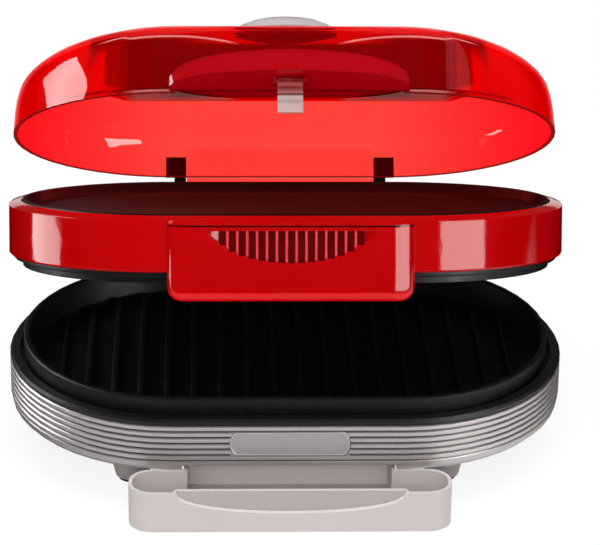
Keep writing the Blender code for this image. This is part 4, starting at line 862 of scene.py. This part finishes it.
def skin(name, body, materials, loops, bands=None, place=None, ring=False):
    """A closed skin through loops of equal length; bands gives each strip's material."""
    count, rows = len(loops[0]), len(loops)
    points = [Vector(point) * MM for loop in loops for point in loop]
    if place:
        points = [place @ point for point in points]
    faces = []
    for row in range(rows if ring else rows - 1):
        low, high = row * count, (row + 1) % rows * count
        for i in range(count):
            after = (i + 1) % count
            faces.append((low + i, low + after, high + after, high + i))
    if not ring:
        faces.append(tuple(reversed(range(count))))
        faces.append(tuple(range((rows - 1) * count, rows * count)))
    mesh = bpy.data.meshes.new(name)
    mesh.from_pydata([tuple(point) for point in points], [], faces)
    for material in materials:
        mesh.materials.append(material)
    if bands:
        for face in mesh.polygons:
            face.material_index = bands[min(face.index // count, rows - 1)]
    form = bmesh.new()
    form.from_mesh(mesh)
    bmesh.ops.recalc_face_normals(form, faces=form.faces)
    form.to_mesh(mesh)
    form.free()
    piece = bpy.data.objects.new(name, mesh)
    scene.collection.objects.link(piece)
    smooth(piece)
    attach(piece, body)


# Half of the plate's outline as X and Z, and its steps as an inset and a height
PLATE_OUTLINE = ((29.6, 32), (31, 33.2), (32.4, 36.8), (32.4, 41.5), (31, 45.1), (29.6, 46.3))
PLATE_STEPS = ((0.35, 0.02), (0.35, 0.9), (0.5, 1.05), (0.9, 1.05), (1.1, 0.7), (2.2, 0.7))
PLATE_BANDS = (0, 0, 0, 0, 1, 1)
PLATE_BACK = -111.1
BORDER_TONES = ((0.66, 0.62, 0.62), (0.78, 0.74, 0.74))
BORDER_GRAIN = (60, 900, 900)
FIELD_TONES = ((0.43, 0.395, 0.395), (0.52, 0.485, 0.485))
FIELD_GRAIN = (25, 900, 1400)


def nameplate():
    """A bare brushed plate with a fine raised border, in the base's recess."""
    middle = (PLATE_OUTLINE[0][1] + PLATE_OUTLINE[-1][1]) / 2
    reach = PLATE_OUTLINE[-1][1] - middle
    loops = []
    for inset, proud in PLATE_STEPS:
        half = [
            (x - inset, middle + (z - middle) * (reach - inset) / reach)
            for x, z in PLATE_OUTLINE
        ]
        outline = half + [(-x, z) for x, z in reversed(half)]
        loops.append([(x, PLATE_BACK - proud, z) for x, z in outline])
    border = metal_label("bright_plate_border", BORDER_TONES, BORDER_GRAIN)
    field = metal_label("brushed_plate_field", FIELD_TONES, FIELD_GRAIN)
    skin("nameplate_field", "base", (border, field), loops, PLATE_BANDS)


BADGE_RADII = (31, 24, 9)
BADGE_CENTRE = (0, -28.2, 159.05)
BADGE_RING = (21.5, 16)
RING_SIDES = 48
RING_WIDTH_SHARE = 0.018
RING_HEIGHT = 0.34
RING_ANGLES = (0, 0.8, 1.57, 2.34, 3.14, 4.71)
RING_TONES = ((0.60, 0.57, 0.57), (0.74, 0.71, 0.71))
RING_GRAIN = (400, 400, 400)
SATIN_SHARES = (0.96, 0.8, 0.6, 0.4, 0.2)
SATIN_LIFT = 0.14
SATIN_SINK = -0.15
SATIN_TONES = ((0.42, 0.39, 0.39), (0.50, 0.47, 0.47))
SATIN_GRAIN = (40, 900, 900)


def badge_loop(share, lift):
    """A loop over the badge, a share of the way from its middle to the ring's line."""
    loop = []
    for i in range(RING_SIDES):
        turn = 2 * math.pi * i / RING_SIDES
        x = BADGE_RING[0] * share * math.cos(turn)
        y = BADGE_RING[1] * share * math.sin(turn)
        height = math.sqrt(1 - (x / BADGE_RADII[0]) ** 2 - (y / BADGE_RADII[1]) ** 2)
        top = BADGE_CENTRE[2] + BADGE_RADII[2] * height
        loop.append((BADGE_CENTRE[0] + x, BADGE_CENTRE[1] + y, top + lift))
    return loop


def badge_details():
    """The badge's fine ring and the bare satin field inside it."""
    bright = metal_label("bright_badge_ring", RING_TONES, RING_GRAIN)
    satin = metal_label("satin_badge_field", SATIN_TONES, SATIN_GRAIN)
    place = opened(LID_OPEN)
    ring = [
        badge_loop(1 + RING_WIDTH_SHARE * math.cos(a), RING_HEIGHT * math.sin(a))
        for a in RING_ANGLES
    ]
    skin("badge_ring", "lid", (bright,), ring, place=place, ring=True)
    field = [badge_loop(SATIN_SHARES[0], SATIN_SINK)]
    field += [badge_loop(share, SATIN_LIFT) for share in SATIN_SHARES]
    skin("badge_field", "lid", (satin,), field, place=place)


# Each kind of screw: name, body, the body's opening, X from the middle, Y, heights, radius
SCREWS = (
    ("bracket_screw", "base", 0, 35, 91.2, (32.5, 43.5), 2.2),
    ("middle_arm_screw", "middle_unit", MIDDLE_OPEN, 45.7, 91.6, (82, 93), 2.1),
    ("lid_arm_screw", "lid", LID_OPEN, 66.7, 90.5, (107.6, 113.6), 1.6),
)
HEAD_SIDES = 24
HEAD_PROFILE = ((1, 0), (1, 0.4), (0.93, 0.7), (0.8, 0.88), (0.68, 0.95))
HEAD_TONES = ((0.46, 0.46, 0.47), (0.62, 0.62, 0.63))
HEAD_GRAIN = (300, 300, 300)
HEAD_DULL = 0.24
DRIVE_DEPTHS = (0.97, 0.45)
DRIVE_LONG = 0.58
DRIVE_WIDE = 0.15
QUARTER_TURNS = ((1, 0), (0, 1), (-1, 0), (0, -1))


def cross(radius):
    """Twenty-four points round a cross-shaped drive."""
    long, wide = DRIVE_LONG * radius, DRIVE_WIDE * radius
    half = (long + wide) / 2
    arm = ((long, -wide), (long, 0), (long, wide), (half, wide), (wide, wide), (wide, half))
    return [(x * c - y * s, x * s + y * c) for c, s in QUARTER_TURNS for x, y in arm]


def screws():
    """Pan-head screws with a cross drive, seen at the back."""
    head = steel("screw_steel", HEAD_TONES, HEAD_GRAIN, HEAD_DULL)
    step = 360 / HEAD_SIDES
    circle = [math.radians(step * (i - 1)) for i in range(HEAD_SIDES)]
    for name, body, angle, x_from_middle, y, heights, radius in SCREWS:
        for side, word in ((-1, "left"), (1, "right")):
            x = side * x_from_middle
            for row, z in enumerate(heights):
                loops = []
                for share, high in HEAD_PROFILE:
                    reach = radius * share
                    loops.append([
                        (x + reach * math.cos(a), y + high, z + reach * math.sin(a))
                        for a in circle
                    ])
                for depth in DRIVE_DEPTHS:
                    loops.append([(x + u, y + depth, z + v) for u, v in cross(radius)])
                piece = f"{name}_{word}_{row + 1}"
                skin(piece, body, (head,), loops, place=opened(angle))


# The label's corners: the middle of each round and the angle that it starts at
LABEL_CORNERS = ((27, -23, 270), (27, -1, 0), (-27, -1, 90), (-27, -23, 180))
LABEL_RADIUS = 3
LABEL_CORNER_STEPS = 3
LABEL_HEIGHTS = (23.79, 23.6)
FOIL_TONES = ((0.60, 0.60, 0.61), (0.70, 0.70, 0.71))
FOIL_GRAIN = (200, 200, 200)


def underside_label():
    """A bare rating label under the base."""
    outline = []
    for x, y, start in LABEL_CORNERS:
        for i in range(LABEL_CORNER_STEPS + 1):
            a = math.radians(start + 90 * i / LABEL_CORNER_STEPS)
            outline.append((x + LABEL_RADIUS * math.cos(a), y + LABEL_RADIUS * math.sin(a)))
    foil = metal_label("bare_foil_label", FOIL_TONES, FOIL_GRAIN)
    loops = [[(x, y, z) for x, y in outline] for z in LABEL_HEIGHTS]
    skin("underside_label", "base", (foil,), loops)


# Light and ground

WHITE = (1, 1, 1)
SEEN_LEVEL = 1.0
DIFFUSE_LEVEL = 0.55
BEHIND_SPAN = (0.1, 0.7)
MIRRORED_LEVELS = (0.03, 0.06)


def studio_world():
    """White where seen straight or through clear parts, and dim in reflections."""
    world = bpy.data.worlds.new("studio")
    world.use_nodes = True
    t = Tree(world.node_tree)
    background = t.tree.nodes["Background"]
    y = t.split(t.add("ShaderNodeTexCoord").outputs["Generated"])[1]
    mirrored = t.spread(y, *BEHIND_SPAN, *MIRRORED_LEVELS, interpolation_type="SMOOTHSTEP")
    seen, in_gloss = t.seen_and_mirrored()
    level = t.between(seen, t.between(in_gloss, DIFFUSE_LEVEL, mirrored), SEEN_LEVEL)
    t.link(level, background.inputs["Strength"])
    t.feed(background.inputs["Color"], WHITE)
    scene.world = world


LAMP_AIM = Vector((0, 0, 0.12))
# Name, azimuth (0 in front, 90 right), elevation, distance, width, height, radiance, and
# what the lamp is left out of: diffuse light or gloss
LAMPS = (
    ("top_light", 0, 80, 1.5, 1.1, 0.8, 2.7, "gloss"),
    ("left_box", -105.5, 22, 0.705, 0.425, 0.285, 7.5, "diffuse"),
    ("left_low_box", -94, -7, 0.61, 0.27, 0.09, 8.0, "diffuse"),
    ("right_box", 44.5, 5, 1.6, 0.93, 0.8, 9.5, "diffuse"),
    ("front_fill", -8, 24, 1.8, 1.3, 0.8, 2.4, "gloss"),
)


def softbox(name, azimuth, elevation, distance, width, height, radiance, without):
    """An area lamp that faces the object, left out of what the last value names."""
    a, e = math.radians(azimuth), math.radians(elevation)
    away = Vector((math.sin(a) * math.cos(e), -math.cos(a) * math.cos(e), math.sin(e)))
    lamp = bpy.data.lights.new(name, "AREA")
    lamp.shape = "RECTANGLE"
    lamp.size, lamp.size_y = width, height
    lamp.energy = radiance * width * height * math.pi
    holder = bpy.data.objects.new(name, lamp)
    scene.collection.objects.link(holder)
    holder.location = LAMP_AIM + away * distance
    holder.rotation_mode = "QUATERNION"
    holder.rotation_quaternion = away.to_track_quat("Z", "Y")
    holder.visible_camera = False
    holder.visible_transmission = False
    holder.visible_diffuse = without != "diffuse"
    holder.visible_glossy = without != "gloss"


# In reflections the floor shows two pools of light: one in front, which is brighter to the
# right, and one behind
FLOOR_HALF = 6.0
FLOOR_DRIFT = (3, 2)
FLOOR_TONES = ((0.80, 0.80, 0.80), (0.84, 0.84, 0.84))
FLOOR_GRAIN = (30, 2)
FLOOR_DULL = (0.6, 0.7)
FLOOR_GLOW = 1.15
FLOOR_GLOW_SHARE = 0.75
POOL_LEVEL = 0.8
FRONT_POOL_START_Y = (-0.60, -0.35)
FRONT_POOL_END_Y = (-0.15, -0.05)
FRONT_POOL_SKEW = 0.3
FRONT_POOL_OUT = (0.7, 0.9)
FRONT_POOL_RIGHT = (0.04, 0.20, 1, 1.6)
BACK_POOL_Y = (0.40, 0.55)
BACK_POOL_SPREAD = 0.5
BACK_POOL_OUT = (0.02, 0.18)


def make_stage():
    """A pale floor, white where seen, that keeps the grill's shadow."""
    mesh = bpy.data.meshes.new("floor")
    corners = [(FLOOR_HALF * x, FLOOR_HALF * y, 0) for x, y in ((-1, -1), (1, -1), (1, 1), (-1, 1))]
    mesh.from_pydata(corners, [], [(0, 1, 2, 3)])
    floor = bpy.data.objects.new("floor", mesh)
    scene.collection.objects.link(floor)
    n = Nodes("pale_floor")
    n.colour(n.blend(n.noise(*FLOOR_DRIFT), *FLOOR_TONES))
    n.rough(n.spread(n.noise(*FLOOR_GRAIN), *MOST_OF_NOISE, *FLOOR_DULL))
    n.settings(specular_ior_level=0.1)
    x, y = n.split(n.place)[:2]
    out = n.size_of(x)
    skewed = n.minus(y, n.times(n.larger(x, 0), FRONT_POOL_SKEW))
    in_front = n.all_of(
        n.spread(y, *FRONT_POOL_START_Y, 0, POOL_LEVEL), n.fall(skewed, *FRONT_POOL_END_Y),
        n.fall(out, *FRONT_POOL_OUT), n.spread(x, *FRONT_POOL_RIGHT),
    )
    off_axis = n.minus(out, n.times(y, BACK_POOL_SPREAD))
    behind = n.all_of(
        n.spread(y, *BACK_POOL_Y, 0, POOL_LEVEL), n.fall(off_axis, *BACK_POOL_OUT),
    )
    seen, in_gloss = n.seen_and_mirrored()
    glow = n.add("ShaderNodeEmission")
    pools = n.larger(in_front, behind)
    n.link(n.larger(n.times(seen, FLOOR_GLOW), pools), glow.inputs["Strength"])
    mix = n.add("ShaderNodeMixShader")
    n.link(n.larger(n.times(seen, FLOOR_GLOW_SHARE), in_gloss), mix.inputs[0])
    n.link(n.shader.outputs["BSDF"], mix.inputs[1])
    n.link(glow.outputs["Emission"], mix.inputs[2])
    n.link(mix.outputs["Shader"], n.output.inputs["Surface"])
    mesh.materials.append(n.material)


make_camera()
dress_frame()
nameplate()
badge_details()
screws()
underside_label()
studio_world()
for lamp in LAMPS:
    softbox(*lamp)
make_stage()
scene.view_settings.view_transform = "Standard"
